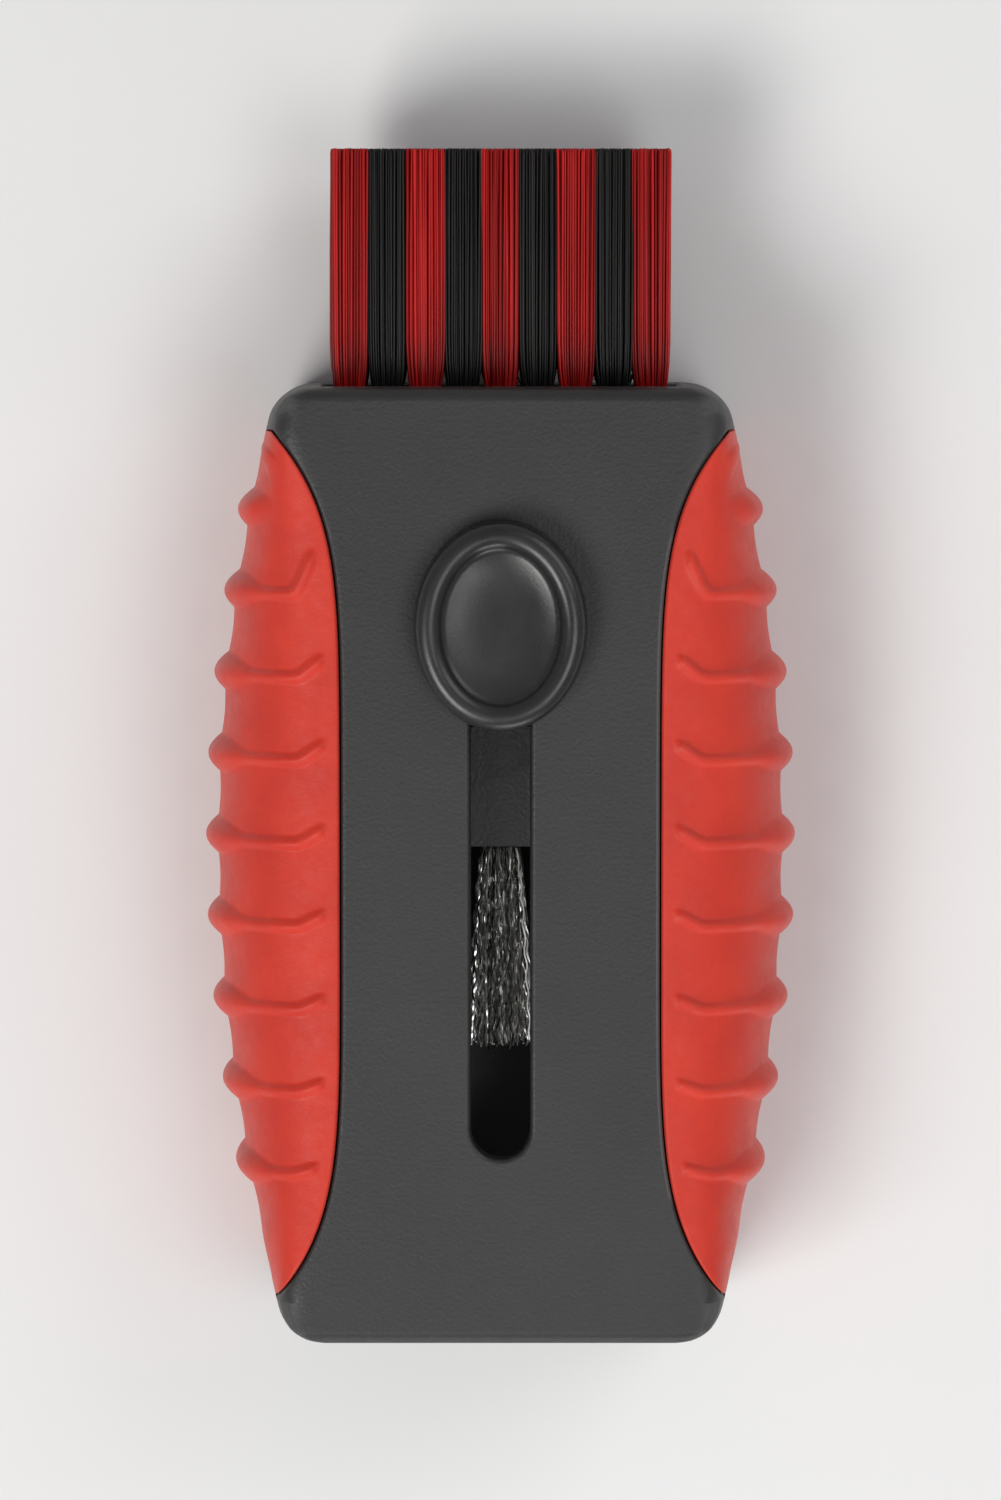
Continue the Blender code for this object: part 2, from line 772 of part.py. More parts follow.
def button_screw():
    seat = BUTTON_SCREW_SEAT_Z - FIT_GAP
    tip = THICKNESS - 2 * BUTTON_CAP_WALL
    head = BUTTON_SCREW_HEAD_RADIUS
    length = BUTTON_SCREW_HEAD_LENGTH
    place = (0, CARRIAGE_MID_Y)
    screw("button_screw", place, seat, head, BUTTON_SCREW_RADIUS, length, tip, slide_axis())


def detent_springs():
    """Bowed leaves at the spine's sides, whose crests snap into the channel's notches."""
    for side, name in ((-1, "detent_spring_left"), (1, "detent_spring_right")):
        bm = bmesh.new()
        rings = []
        for i in range(SPRING_STEPS + 1):
            share = 2 * i / SPRING_STEPS - 1
            bow = (1 + math.cos(math.pi * share)) / 2
            x = SPRING_END_X + (SPRING_CREST_X - SPRING_END_X) * bow
            y = CARRIAGE_MID_Y + share * SPRING_HALF_LENGTH
            back = x - SPRING_THICKNESS
            low = MID_Z - SPRING_HALF_HEIGHT
            high = MID_Z + SPRING_HALF_HEIGHT
            corners = ((back, low), (x, low), (x, high), (back, high))
            rings.append([Vector((side * cx, y, cz)) for cx, cz in corners])
        loft(bm, rings)
        finish_object(name, bm, steel(), slide_axis())


# ---------------------------------------------------------------- bristles


def column_ring(x, y, half_x, half_z):
    """A rectangle across a bristle column, with its corners cut."""
    corners = []
    for sx, sz in ((1, 1), (-1, 1), (-1, -1), (1, -1)):
        near_x = (x + sx * half_x, MID_Z + sz * (half_z - NYLON_CORNER))
        near_z = (x + sx * (half_x - NYLON_CORNER), MID_Z + sz * half_z)
        corners += [near_x, near_z] if sx * sz > 0 else [near_z, near_x]
    return [Vector((cx, y, cz)) for cx, cz in corners]


def anchor(name, x, z, y_low, half_height):
    bm = bmesh.new()
    low = (x - ANCHOR_THICKNESS / 2, y_low, z - half_height)
    high = (x + ANCHOR_THICKNESS / 2, y_low + ANCHOR_LENGTH, z + half_height)
    box(bm, low, high)
    finish_object(name, bm, steel(), slide_axis())


def nylon_brush():
    hole_floor = CARRIAGE_TOP_Y - NYLON_HOLE_DEPTH
    root_y = hole_floor + ANCHOR_LENGTH + 2 * FIT_GAP
    half_root = NYLON_ROOT_WIDTH / 2
    half_root_z = NYLON_ROOT_DEPTH / 2
    for column in range(NYLON_COLUMNS):
        x = nylon_x(column)
        bm = bmesh.new()
        rings = [
            column_ring(x, root_y, half_root, half_root_z),
            column_ring(x, CARRIAGE_TOP_Y, half_root, half_root_z),
            column_ring(x, CARRIAGE_TOP_Y + NYLON_FAN_LENGTH, NYLON_WIDTH / 2, NYLON_DEPTH / 2),
            column_ring(x, NYLON_TIP_Y, NYLON_WIDTH / 2, NYLON_DEPTH / 2),
        ]
        loft(bm, rings)
        mat = red_nylon() if column % 2 == 0 else black_nylon()
        finish_object(f"nylon_tuft_{column + 1}", bm, mat, slide_axis())
        y_low = hole_floor + FIT_GAP
        anchor(f"nylon_anchor_{column + 1}", x, MID_Z, y_low, NYLON_ANCHOR_HALF_HEIGHT)


def wire_brush():
    hole_floor = CARRIAGE_BOTTOM_Y + WIRE_HOLE_DEPTH
    root_y = hole_floor - ANCHOR_LENGTH - 2 * FIT_GAP
    for number, (x, z) in enumerate(wire_places(), start=1):
        rings = []
        for y, radius in (
            (root_y, WIRE_ROOT_RADIUS),
            (CARRIAGE_BOTTOM_Y, WIRE_ROOT_RADIUS),
            (CARRIAGE_BOTTOM_Y - WIRE_SPREAD_LENGTH, 0.5 * (WIRE_ROOT_RADIUS + WIRE_TIP_RADIUS)),
            (WIRE_TIP_Y, WIRE_TIP_RADIUS),
        ):
            ring = []
            for i in range(WIRE_SIDES):
                angle = 2 * math.pi * i / WIRE_SIDES
                ring.append(Vector((x + radius * math.cos(angle), y, z + radius * math.sin(angle))))
            rings.append(ring)
        bm = bmesh.new()
        loft(bm, rings)
        finish_object(f"wire_tuft_{number}", bm, steel(), slide_axis())
        y_low = hole_floor - FIT_GAP - ANCHOR_LENGTH
        anchor(f"wire_anchor_{number}", x, z, y_low, WIRE_ANCHOR_HALF_HEIGHT)


# ---------------------------------------------------------------- build


def main():
    for obj in list(bpy.data.objects):
        bpy.data.objects.remove(obj, do_unlink=True)
    housing()
    grips()
    housing_screws()
    carriage()
    thumb_button()
    button_screw()
    detent_springs()
    nylon_brush()
    wire_brush()


main()
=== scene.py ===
"""The looks of a double-ended golf groove brush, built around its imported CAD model.

The brush lies on its back: +X across, +Y towards the nylon brush, +Z out of the front face.
"""

import json
import math

import bmesh
import bpy
import numpy as np
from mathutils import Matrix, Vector


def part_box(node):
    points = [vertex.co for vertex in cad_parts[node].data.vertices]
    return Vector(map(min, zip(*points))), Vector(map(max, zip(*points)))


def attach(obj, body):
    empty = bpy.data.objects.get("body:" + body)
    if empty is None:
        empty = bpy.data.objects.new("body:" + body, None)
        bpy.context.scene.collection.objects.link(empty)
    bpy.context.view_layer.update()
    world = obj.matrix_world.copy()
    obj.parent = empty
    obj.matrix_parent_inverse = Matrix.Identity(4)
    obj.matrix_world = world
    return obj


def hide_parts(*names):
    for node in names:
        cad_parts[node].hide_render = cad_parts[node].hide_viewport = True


MM = 0.001

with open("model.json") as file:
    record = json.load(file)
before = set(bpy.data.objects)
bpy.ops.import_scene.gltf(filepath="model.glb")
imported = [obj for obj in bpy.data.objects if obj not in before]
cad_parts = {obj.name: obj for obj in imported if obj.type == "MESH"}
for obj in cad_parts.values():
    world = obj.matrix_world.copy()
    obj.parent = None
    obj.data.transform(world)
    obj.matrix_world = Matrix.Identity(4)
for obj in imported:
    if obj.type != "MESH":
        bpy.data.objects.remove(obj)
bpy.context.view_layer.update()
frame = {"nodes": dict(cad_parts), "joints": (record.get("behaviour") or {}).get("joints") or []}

front_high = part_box("front_shell")[1]
carriage_low, carriage_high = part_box("brush_carriage")
nylon_low, nylon_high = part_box("nylon_tuft_5")

# Housing, as in the CAD model
HALF_LENGTH = front_high.y
THICKNESS = front_high.z
MID_Z = THICKNESS / 2
MID_HALF_WIDTH = 20.4 * MM
BELLY_Y = 1.0 * MM
WAIST_DROP = 3.9 * MM
CORNER_RADIUS = 2.2 * MM
END_EDGE_RADIUS = 1.0 * MM
SIDE_ROUNDNESS = 2.1
END_SQUARENESS = 1.5
PANEL_HALF_WIDTH = 11.4 * MM
PANEL_FLARE = 2.6 * MM
LENS_FLARE = 4.8 * MM
LENS_POWER = 6
GRIP_HALF_LENGTH = 30.9 * MM
GRIP_THICKNESS = 2.2 * MM
RECESS_END = 31.0 * MM
CHANNEL_HALF_WIDTH = 12.7 * MM
CHANNEL_HALF_HEIGHT = 4.9 * MM
SLOT_HALF_WIDTH = 2.1 * MM
SLOT_HALF_LENGTH = 20.7 * MM
CORE_HALF_WIDTH = 9.5 * MM
CORE_HALF_LENGTH = 29.0 * MM
REAR_LAND_HALF_WIDTH = 4.5 * MM
WALL = 2.0 * MM
NOTCH_HALF_LENGTH = 2.6 * MM
NOTCH_HALF_HEIGHT = 2.3 * MM
NOTCH_DEPTH = 0.9 * MM
SCREW_SEAT_Z = 7.6 * MM
SCREW_RADIUS = 0.9 * MM
FIT_GAP = 0.3 * MM
SHOULDER = 1.3 * MM  # least run of the rounded side past the flat panel
CUTTER_OVERSHOOT = 1.0 * MM
FAR = 60 * MM  # past the body's sides and ends
SLAB_OVERSHOOT = 10 * MM

# Fine detail
SEAM = 0.12 * MM  # gap between the halves, and between plastic and rubber
GRIP_END = RECESS_END - SEAM
EDGE_FILLET = 0.28 * MM
SLOT_FILLET = 0.4 * MM
MOUTH_FILLET = 0.3 * MM
FILLET_SEGMENTS = 4
RIM_ANGLE = math.radians(60)  # an edge sharper than this may be a rim
RIM_SEARCH = 0.05 * MM
MERGE_DISTANCE = 0.002 * MM
PANEL_MARGIN = 1.2 * MM  # how far inside the panel's edge a section's points begin
PANEL_POINTS = 4
LIP_POINTS = 5
RECESS_LEAST_DEPTH = 0.25 * MM  # in from the side's widest line, near the grips' tips
RECESS_STEP = 0.2 * MM  # least step down from the lip into the recess
RECESS_END_RUN = 0.04 * MM  # length of the nearly upright wall at the recess's end
SIDE_POINTS = 33
STATIONS = 84
CORNER_STATIONS = (31.4, 31.8, 32.1, 32.4, 32.7, 33.0)  # mm, from the recess to the end edge
END_EDGE_STEPS = 8
SLOT_STEPS = 20
SCREW_HOLE_SIDES = 32
SAME_PLACE = 1e-7  # metres
CARRIAGE_EDGE = 0.15 * MM
CARRIAGE_MERGE_DISTANCE = 0.003 * MM

# Grip ribs
RIB_COUNT = 9
RIB_PITCH = 5.9 * MM
RIB_CENTRE_Y = 1.75 * MM
RIB_TURN = 0.5 * MM  # how far the lowest rib's inner end turns up
RIB_TURN_STEP = 0.13 * MM  # how much more each next rib turns up
LAST_RIBS_TURN = 1.3 * MM  # more again on the two ribs nearest the nylon brush
TURN_START = 0.8 * MM  # from the grip's inner edge
TURN_SPAN = 2.4 * MM
WELT_START = 0.9 * MM  # from the grip's inner edge
WELT_FADE = 0.5 * MM
WELT_HALF_WIDTH = 0.50 * MM
WELT_HEIGHT = 0.34 * MM
LOBE_START = 0.3 * MM  # from the side's widest line inwards
LOBE_FADE = 2.1 * MM
LOBE_EXTRA_HALF_WIDTH = 0.85 * MM
LOBE_EXTRA_HEIGHT = 0.50 * MM
RIB_PROFILE_POWER = 1.1
DIP_DEPTH = 0.16 * MM
DIP_FADE = 5 * MM  # the dips die out over this length at the grip's ends

# Grip meshes
GRIP_POINTS = 101
GRIP_POINT_SPACING = 1.35  # above 1 sets points closer together at the grip's edges
GRIP_INNER_POINTS = 23
GRIP_STATIONS = 510
GRIP_LIP = 0.25 * MM
GRIP_LIP_SHARE = 0.4  # a lip takes no more than this share of a point's height
GRIP_INNER_REACH = 0.97  # of the outer edge's height, for the hidden inner curve
GRIP_INNER_STEP = 0.006  # keeps neighbouring points of that curve apart

# Thumb button
BUTTON_SIDES = 120
BUTTON_GAP = 0.15 * MM  # between the pad and the housing's face
BUTTON_RIM = 1.0 * MM
BUTTON_RIM_STEPS = 14
BUTTON_RIM_TURN = 0.88  # of a half circle, from the pad's wall over to the dish
BUTTON_DRAFT = 0.08  # mm that the wall leans in
DISH_STEPS = 10
DISH_DEPTH = 0.4 * MM
DISH_CENTRE_INSET = 5.9  # mm in from the pad's outline
DISH_CENTRE_RADIUS = 0.15 * MM
STEM_HALF_WIDTH = 1.8 * MM
STEM_HALF_STRAIGHT = 1.3 * MM

# Bristles
ROOT_DEPTH = 1.0 * MM  # how far the strands reach into their holes
BRISTLE_HALF_HEIGHT = 4.5 * MM  # a little less than the channel's
NYLON_SEED = 11
NYLON_ACROSS = 14
NYLON_DEEP = 42
NYLON_SIDES = 5
NYLON_RADIUS = 0.088 * MM
NYLON_TIP_RADIUS = 0.05 * MM
NYLON_COLUMN_HALF_WIDTH = 1.33 * MM
NYLON_HOLE_HALF_WIDTH = 0.95 * MM
NYLON_HOLE_HALF_HEIGHT = 3.5 * MM
NYLON_BRUSH_HALF_WIDTH = 12.45 * MM
NYLON_FAN = 1.3 * MM  # the columns spread to full width over about this length
NYLON_JITTER = 0.25  # scatters filaments by about an eighth of the space between them
NYLON_STRAY_SHARE = 0.02
NYLON_STRAY = 0.3 * MM
NYLON_STRAY_SHORT = 0.5 * MM
NYLON_TIP_SPREAD_X = 0.05 * MM
NYLON_TIP_SPREAD_Z = 0.08 * MM
NYLON_CUT_SPREAD = 0.10 * MM
NYLON_BEND = 0.05 * MM
NYLON_MARKS = (0.0, 0.055, 0.10, 0.16, 0.26, 0.6, 0.985, 1.0)  # shares of a filament's length
WIRE_SEED = 5
WIRE_COUNT = 72
WIRE_STEPS = 84
WIRE_SIDES = 4
WIRE_RADIUS = 0.072 * MM
WIRE_ROOT_SPREAD = 1.15 * MM
WIRE_TIP_SPREAD = 2.4 * MM
WIRE_SPREAD_POWER = 0.4
WIRE_CUT_SPREAD = 0.25 * MM
WIRE_BRUSH_HALF_WIDTH = 12.2 * MM
CRIMP_LENGTHS = (1.5, 2.3)  # mm, shortest and longest wave
CRIMP_HEIGHTS = (0.07, 0.15)  # mm
CRIMP_ONSET = 8  # the crimp grows to its full height over the first eighth of a wire
WIRE_LEAN_X = 0.45 * MM
WIRE_LEAN_Z = 0.35 * MM
WIRE_LEAN_POWER = 1.5

# Studio, in metres
FLOOR_FLAT = 1.4
FLOOR_CURVE = 0.7
FLOOR_TOP = 2.0
FLOOR_RINGS = 4
FLOOR_CURVE_STEPS = 12
FLOOR_SIDES = 96
FLOOR_DROP = 0.02 * MM
CAMERA_TILT = math.radians(4.3)
CAMERA_DISTANCE = 490 * MM
CAMERA_SENSOR = 36  # mm
FRAME_HEIGHT = 106 * MM  # what the camera sees from top to bottom at the housing's face

# Materials
NOISE_LOW = 0.3  # a noise texture's values mostly lie between these two
NOISE_HIGH = 0.7


# ---------------------------------------------------------------- node materials


def new_material(name):
    mat = bpy.data.materials.new(name)
    mat.use_nodes = True
    nodes = mat.node_tree.nodes
    return mat, nodes, mat.node_tree.links, nodes["Principled BSDF"]


def noise(nodes, links, scale, detail=4.0, roughness=0.6, stretch=None):
    """A noise texture in object space, whose scale counts features per metre."""
    coords = nodes.new("ShaderNodeTexCoord")
    mapping = nodes.new("ShaderNodeMapping")
    if stretch is not None:
        mapping.inputs["Scale"].default_value = stretch
    links.new(coords.outputs["Object"], mapping.inputs["Vector"])
    tex = nodes.new("ShaderNodeTexNoise")
    tex.inputs["Scale"].default_value = scale
    tex.inputs["Detail"].default_value = detail
    tex.inputs["Roughness"].default_value = roughness
    links.new(mapping.outputs["Vector"], tex.inputs["Vector"])
    return tex


def ramp(nodes, links, source, stops):
    """A colour ramp: stops are (position, colour) pairs."""
    node = nodes.new("ShaderNodeValToRGB")
    elements = node.color_ramp.elements
    while len(elements) < len(stops):
        elements.new(0.5)
    for element, (position, colour) in zip(elements, stops):
        element.position = position
        element.color = (*colour, 1.0)
    links.new(source, node.inputs["Fac"])
    return node


def spread(nodes, links, source, low, high, from_low=NOISE_LOW, from_high=NOISE_HIGH):
    """Map a value, by default a noise texture's, onto the range from low to high."""
    node = nodes.new("ShaderNodeMapRange")
    node.inputs["From Min"].default_value = from_low
    node.inputs["From Max"].default_value = from_high
    node.inputs["To Min"].default_value = low
    node.inputs["To Max"].default_value = high
    links.new(source, node.inputs["Value"])
    return node


def bump(nodes, links, shader, height, distance, strength=1.0, under=None):
    node = nodes.new("ShaderNodeBump")
    node.inputs["Distance"].default_value = distance
    node.inputs["Strength"].default_value = strength
    links.new(height, node.inputs["Height"])
    if under is not None:
        links.new(under.outputs["Normal"], node.inputs["Normal"])
    links.new(node.outputs["Normal"], shader.inputs["Normal"])
    return node


def black_plastic():
    """Spark-textured black moulding: fine even grain, faint flow clouds, edges a little paler."""
    mat, nodes, links, shader = new_material("moulded_black_plastic")
    cloud = noise(nodes, links, scale=90, detail=5, roughness=0.55)
    colour = ramp(
        nodes,
        links,
        cloud.outputs["Fac"],
        [(0.25, (0.015, 0.015, 0.016)), (0.75, (0.022, 0.022, 0.022))],
    )
    edges = nodes.new("ShaderNodeNewGeometry")
    worn = spread(
        nodes,
        links,
        edges.outputs["Pointiness"],
        low=0.0,
        high=0.5,
        from_low=0.53,
        from_high=0.62,
    )
    mix = nodes.new("ShaderNodeMix")
    mix.data_type = "RGBA"
    mix.inputs["B"].default_value = (0.12, 0.12, 0.12, 1.0)
    links.new(worn.outputs["Result"], mix.inputs["Factor"])
    links.new(colour.outputs["Color"], mix.inputs["A"])
    links.new(mix.outputs["Result"], shader.inputs["Base Color"])
    patches = noise(nodes, links, scale=1400, detail=3)
    rough = spread(nodes, links, patches.outputs["Fac"], low=0.42, high=0.50)
    links.new(rough.outputs["Result"], shader.inputs["Roughness"])
    grain = noise(nodes, links, scale=3600, detail=2, roughness=0.5)
    bump(nodes, links, shader, grain.outputs["Fac"], distance=0.035 * MM, strength=0.8)
    return mat


def satin_plastic():
    """The button's smoother black, polished by the thumb."""
    mat, nodes, links, shader = new_material("satin_black_plastic")
    cloud = noise(nodes, links, scale=160, detail=4)
    colour = ramp(
        nodes,
        links,
        cloud.outputs["Fac"],
        [(0.3, (0.013, 0.013, 0.014)), (0.7, (0.019, 0.019, 0.019))],
    )
    links.new(colour.outputs["Color"], shader.inputs["Base Color"])
    smear = noise(nodes, links, scale=240, detail=4, stretch=(1.0, 0.5, 1.0))
    rough = spread(nodes, links, smear.outputs["Fac"], low=0.24, high=0.40)
    links.new(rough.outputs["Result"], shader.inputs["Roughness"])
    grain = noise(nodes, links, scale=4200, detail=2)
    bump(nodes, links, shader, grain.outputs["Fac"], distance=0.012 * MM, strength=0.6)
    return mat


def red_rubber():
    """Soft matte rubber: slightly mottled, velvety, with a fine pebble in the surface."""
    mat, nodes, links, shader = new_material("soft_red_rubber")
    cloud = noise(nodes, links, scale=220, detail=6, roughness=0.62)
    colour = ramp(
        nodes,
        links,
        cloud.outputs["Fac"],
        [(0.25, (0.52, 0.016, 0.003)), (0.55, (0.60, 0.022, 0.004)), (0.8, (0.65, 0.032, 0.008))],
    )
    links.new(colour.outputs["Color"], shader.inputs["Base Color"])
    patches = noise(nodes, links, scale=900, detail=3)
    rough = spread(nodes, links, patches.outputs["Fac"], low=0.50, high=0.66)
    links.new(rough.outputs["Result"], shader.inputs["Roughness"])
    shader.inputs["Subsurface Weight"].default_value = 0.12
    shader.inputs["Subsurface Radius"].default_value = (1.0, 0.25, 0.15)
    shader.inputs["Subsurface Scale"].default_value = 0.6 * MM
    shader.inputs["Sheen Weight"].default_value = 0.12
    shader.inputs["Sheen Roughness"].default_value = 0.5
    pebble = noise(nodes, links, scale=1500, detail=3)
    first = bump(nodes, links, shader, pebble.outputs["Fac"], distance=0.05 * MM, strength=0.5)
    grain = noise(nodes, links, scale=6500, detail=2)
    bump(
        nodes,
        links,
        shader,
        grain.outputs["Fac"],
        distance=0.025 * MM,
        strength=0.7,
        under=first,
    )
    return mat


def nylon(name, dark, bright):
    """Drawn nylon filament: each strand has its own shade, glossy along its length."""
    mat, nodes, links, shader = new_material(name)
    strand = nodes.new("ShaderNodeAttribute")
    strand.attribute_name = "strand"
    colour = ramp(nodes, links, strand.outputs["Fac"], [(0.0, dark), (1.0, bright)])
    streak = noise(nodes, links, scale=700, detail=3, stretch=(1.0, 0.12, 1.0))
    mix = nodes.new("ShaderNodeMix")
    mix.data_type = "RGBA"
    mix.blend_type = "MULTIPLY"
    mix.inputs["Factor"].default_value = 0.6
    links.new(colour.outputs["Color"], mix.inputs["A"])
    links.new(streak.outputs["Color"], mix.inputs["B"])
    links.new(mix.outputs["Result"], shader.inputs["Base Color"])
    rough = spread(nodes, links, streak.outputs["Fac"], low=0.30, high=0.46)
    links.new(rough.outputs["Result"], shader.inputs["Roughness"])
    shader.inputs["Specular IOR Level"].default_value = 0.35
    return mat


def steel(name, tint, low, high, scale=1200, stretch=(1.0, 0.2, 1.0)):
    """Steel with fine lines and slight tarnish, its roughness between low and high."""
    mat, nodes, links, shader = new_material(name)
    shader.inputs["Metallic"].default_value = 1.0
    tarnish = noise(nodes, links, scale=350, detail=4)
    dull = tuple(0.72 * c for c in tint)
    colour = ramp(nodes, links, tarnish.outputs["Fac"], [(0.3, dull), (0.65, tint)])
    links.new(colour.outputs["Color"], shader.inputs["Base Color"])
    lines = noise(nodes, links, scale=scale, detail=4, roughness=0.7, stretch=stretch)
    rough = spread(nodes, links, lines.outputs["Fac"], low=low, high=high)
    links.new(rough.outputs["Result"], shader.inputs["Roughness"])
    bump(nodes, links, shader, lines.outputs["Fac"], distance=0.01 * MM, strength=0.5)
    return mat


# ---------------------------------------------------------------- mesh helpers


def object_from(name, mesh, mat):
    obj = bpy.data.objects.new(name, mesh)
    bpy.context.scene.collection.objects.link(obj)
    mesh.materials.clear()
    mesh.materials.append(mat)
    return obj


def mesh_from(bm, name):
    bmesh.ops.recalc_face_normals(bm, faces=bm.faces)
    mesh = bpy.data.meshes.new(name)
    bm.to_mesh(mesh)
    bm.free()
    return mesh


def smooth(obj, degrees=38):
    """Shade smooth, with edges sharper than the angle kept sharp."""
    obj.data.shade_smooth()
    obj.data.set_sharp_from_angle(angle=math.radians(degrees))
    mod = obj.modifiers.new("weighted", "WEIGHTED_NORMAL")
    mod.keep_sharp = True


def loft(bm, rings):
    """A closed body through rings of equal count, with a face on each end."""
    rows = [[bm.verts.new(point) for point in ring] for ring in rings]
    count = len(rows[0])
    for low, high in zip(rows, rows[1:]):
        for i in range(count):
            j = (i + 1) % count
            bm.faces.new((low[i], low[j], high[j], high[i]))
    bm.faces.new(rows[0])
    bm.faces.new(rows[-1])


def add_box(bm, low, high):
    corners = [(low[0], low[1]), (high[0], low[1]), (high[0], high[1]), (low[0], high[1])]
    loft(bm, [[(x, y, low[2]) for x, y in corners], [(x, y, high[2]) for x, y in corners]])


def cutter(build):
    bm = bmesh.new()
    build(bm)
    obj = bpy.data.objects.new("cutter", mesh_from(bm, "cutter"))
    bpy.context.scene.collection.objects.link(obj)
    return obj


def cut_all(mesh, tools):
    """The mesh left after each tool in turn is taken out of it."""
    obj = bpy.data.objects.new("stock", mesh)
    bpy.context.scene.collection.objects.link(obj)
    for tool in tools:
        mod = obj.modifiers.new("cut", "BOOLEAN")
        mod.operation = "DIFFERENCE"
        mod.solver = "EXACT"
        mod.object = tool
    graph = bpy.context.evaluated_depsgraph_get()
    result = bpy.data.meshes.new_from_object(obj.evaluated_get(graph))
    for used in [obj, *tools]:
        bpy.data.objects.remove(used, do_unlink=True)
    return result


def tube_mesh(name, centres, radii, sides, phases, shades):
    """One mesh of many strands that run along Y. centres is (strands, steps, 3)."""
    strands, steps, _ = centres.shape
    turn = 2 * math.pi * np.arange(sides) / sides
    angle = phases[:, None, None] + turn[None, None, :]
    points = np.repeat(centres[:, :, None, :], sides, axis=2)
    points[..., 0] += radii[:, :, None] * np.cos(angle)
    points[..., 2] += radii[:, :, None] * np.sin(angle)
    verts = points.reshape(-1, 3)
    index = np.arange(strands * steps * sides).reshape(strands, steps, sides)
    ahead = np.roll(index, -1, axis=2)
    near = index[:, :-1, :]
    quads = np.stack([near, index[:, 1:, :], ahead[:, 1:, :], ahead[:, :-1, :]], axis=-1)
    faces = quads.reshape(-1, 4).tolist()
    faces += index[:, 0, :].tolist()
    faces += index[:, -1, ::-1].tolist()
    mesh = bpy.data.meshes.new(name)
    mesh.from_pydata(verts.tolist(), [], faces)
    layer = mesh.attributes.new("strand", "FLOAT", "POINT")
    layer.data.foreach_set("value", np.repeat(shades, steps * sides).astype(np.float32))
    mesh.shade_smooth()
    mesh.set_sharp_from_angle(angle=math.radians(80))
    mesh.update()
    return mesh


# ---------------------------------------------------------------- body section


def lens_share(y):
    return min(abs(y) / GRIP_HALF_LENGTH, 1.0)


def side_x(y):
    half = MID_HALF_WIDTH - WAIST_DROP * ((y - BELLY_Y) / GRIP_HALF_LENGTH) ** 2
    over = abs(y) - (HALF_LENGTH - CORNER_RADIUS)
    if over > 0:
        half -= CORNER_RADIUS - math.sqrt(max(CORNER_RADIUS**2 - over**2, 0.0))
    return half


def panel_x(y):
    flat = PANEL_HALF_WIDTH + PANEL_FLARE * lens_share(y) ** LENS_POWER
    return min(flat, side_x(y) - SHOULDER)


def lens_x(y):
    return PANEL_HALF_WIDTH + LENS_FLARE * lens_share(y) ** LENS_POWER


def half_depth(y):
    over = abs(y) - (HALF_LENGTH - END_EDGE_RADIUS)
    if over <= 0:
        return MID_Z
    return MID_Z - END_EDGE_RADIUS + math.sqrt(max(END_EDGE_RADIUS**2 - over**2, 0.0))


def roundness(y):
    return SIDE_ROUNDNESS + END_SQUARENESS * lens_share(y) ** 4


def side_point(y, angle, inset=0.0):
    power = 2 / roundness(y)
    reach = side_x(y) - panel_x(y) - inset
    x = panel_x(y) + reach * abs(math.cos(angle)) ** power
    z = math.copysign((half_depth(y) - inset) * abs(math.sin(angle)) ** power, angle)
    return x, z


def surface_depth(y, x):
    past = x - panel_x(y)
    if past <= 0:
        return half_depth(y)
    share = min(past / (side_x(y) - panel_x(y)), 1.0)
    power = roundness(y)
    return half_depth(y) * (1 - share**power) ** (1 / power)


def shell_ring(y, recessed):
    """A section of the housing, with a rounded lip where the rubber's recess begins."""
    edge = min(lens_x(y) - SEAM, side_x(y) - RECESS_LEAST_DEPTH)
    start = panel_x(y) - PANEL_MARGIN
    lip = edge - EDGE_FILLET
    xs = [start + (lip - start) * i / PANEL_POINTS for i in range(PANEL_POINTS)]
    turns = [math.pi / 2 * i / LIP_POINTS for i in range(LIP_POINTS + 1)]
    xs += [lip + EDGE_FILLET * math.sin(turn) for turn in turns]
    top = []
    for x in xs:
        z = surface_depth(y, x)
        if recessed and x > lip:
            z -= EDGE_FILLET - math.sqrt(max(EDGE_FILLET**2 - (x - lip) ** 2, 0.0))
        top.append((x, z))
    limit = math.asin(min(surface_depth(y, edge) / half_depth(y), 1.0) ** (roundness(y) / 2))
    side = []
    for i in range(SIDE_POINTS):
        if recessed:
            angle = math.pi * (0.5 - i / (SIDE_POINTS - 1))
            x, z = side_point(y, angle, inset=GRIP_THICKNESS + SEAM)
            wall = top[-1][1] - RECESS_STEP
            side.append((max(edge, x), max(-wall, min(wall, z))))
        else:
            side.append(side_point(y, limit * (1 - 2 * (i + 0.5) / SIDE_POINTS)))
    right = top + side + [(x, -z) for x, z in reversed(top)]
    return [Vector((x, y, MID_Z + z)) for x, z in right]


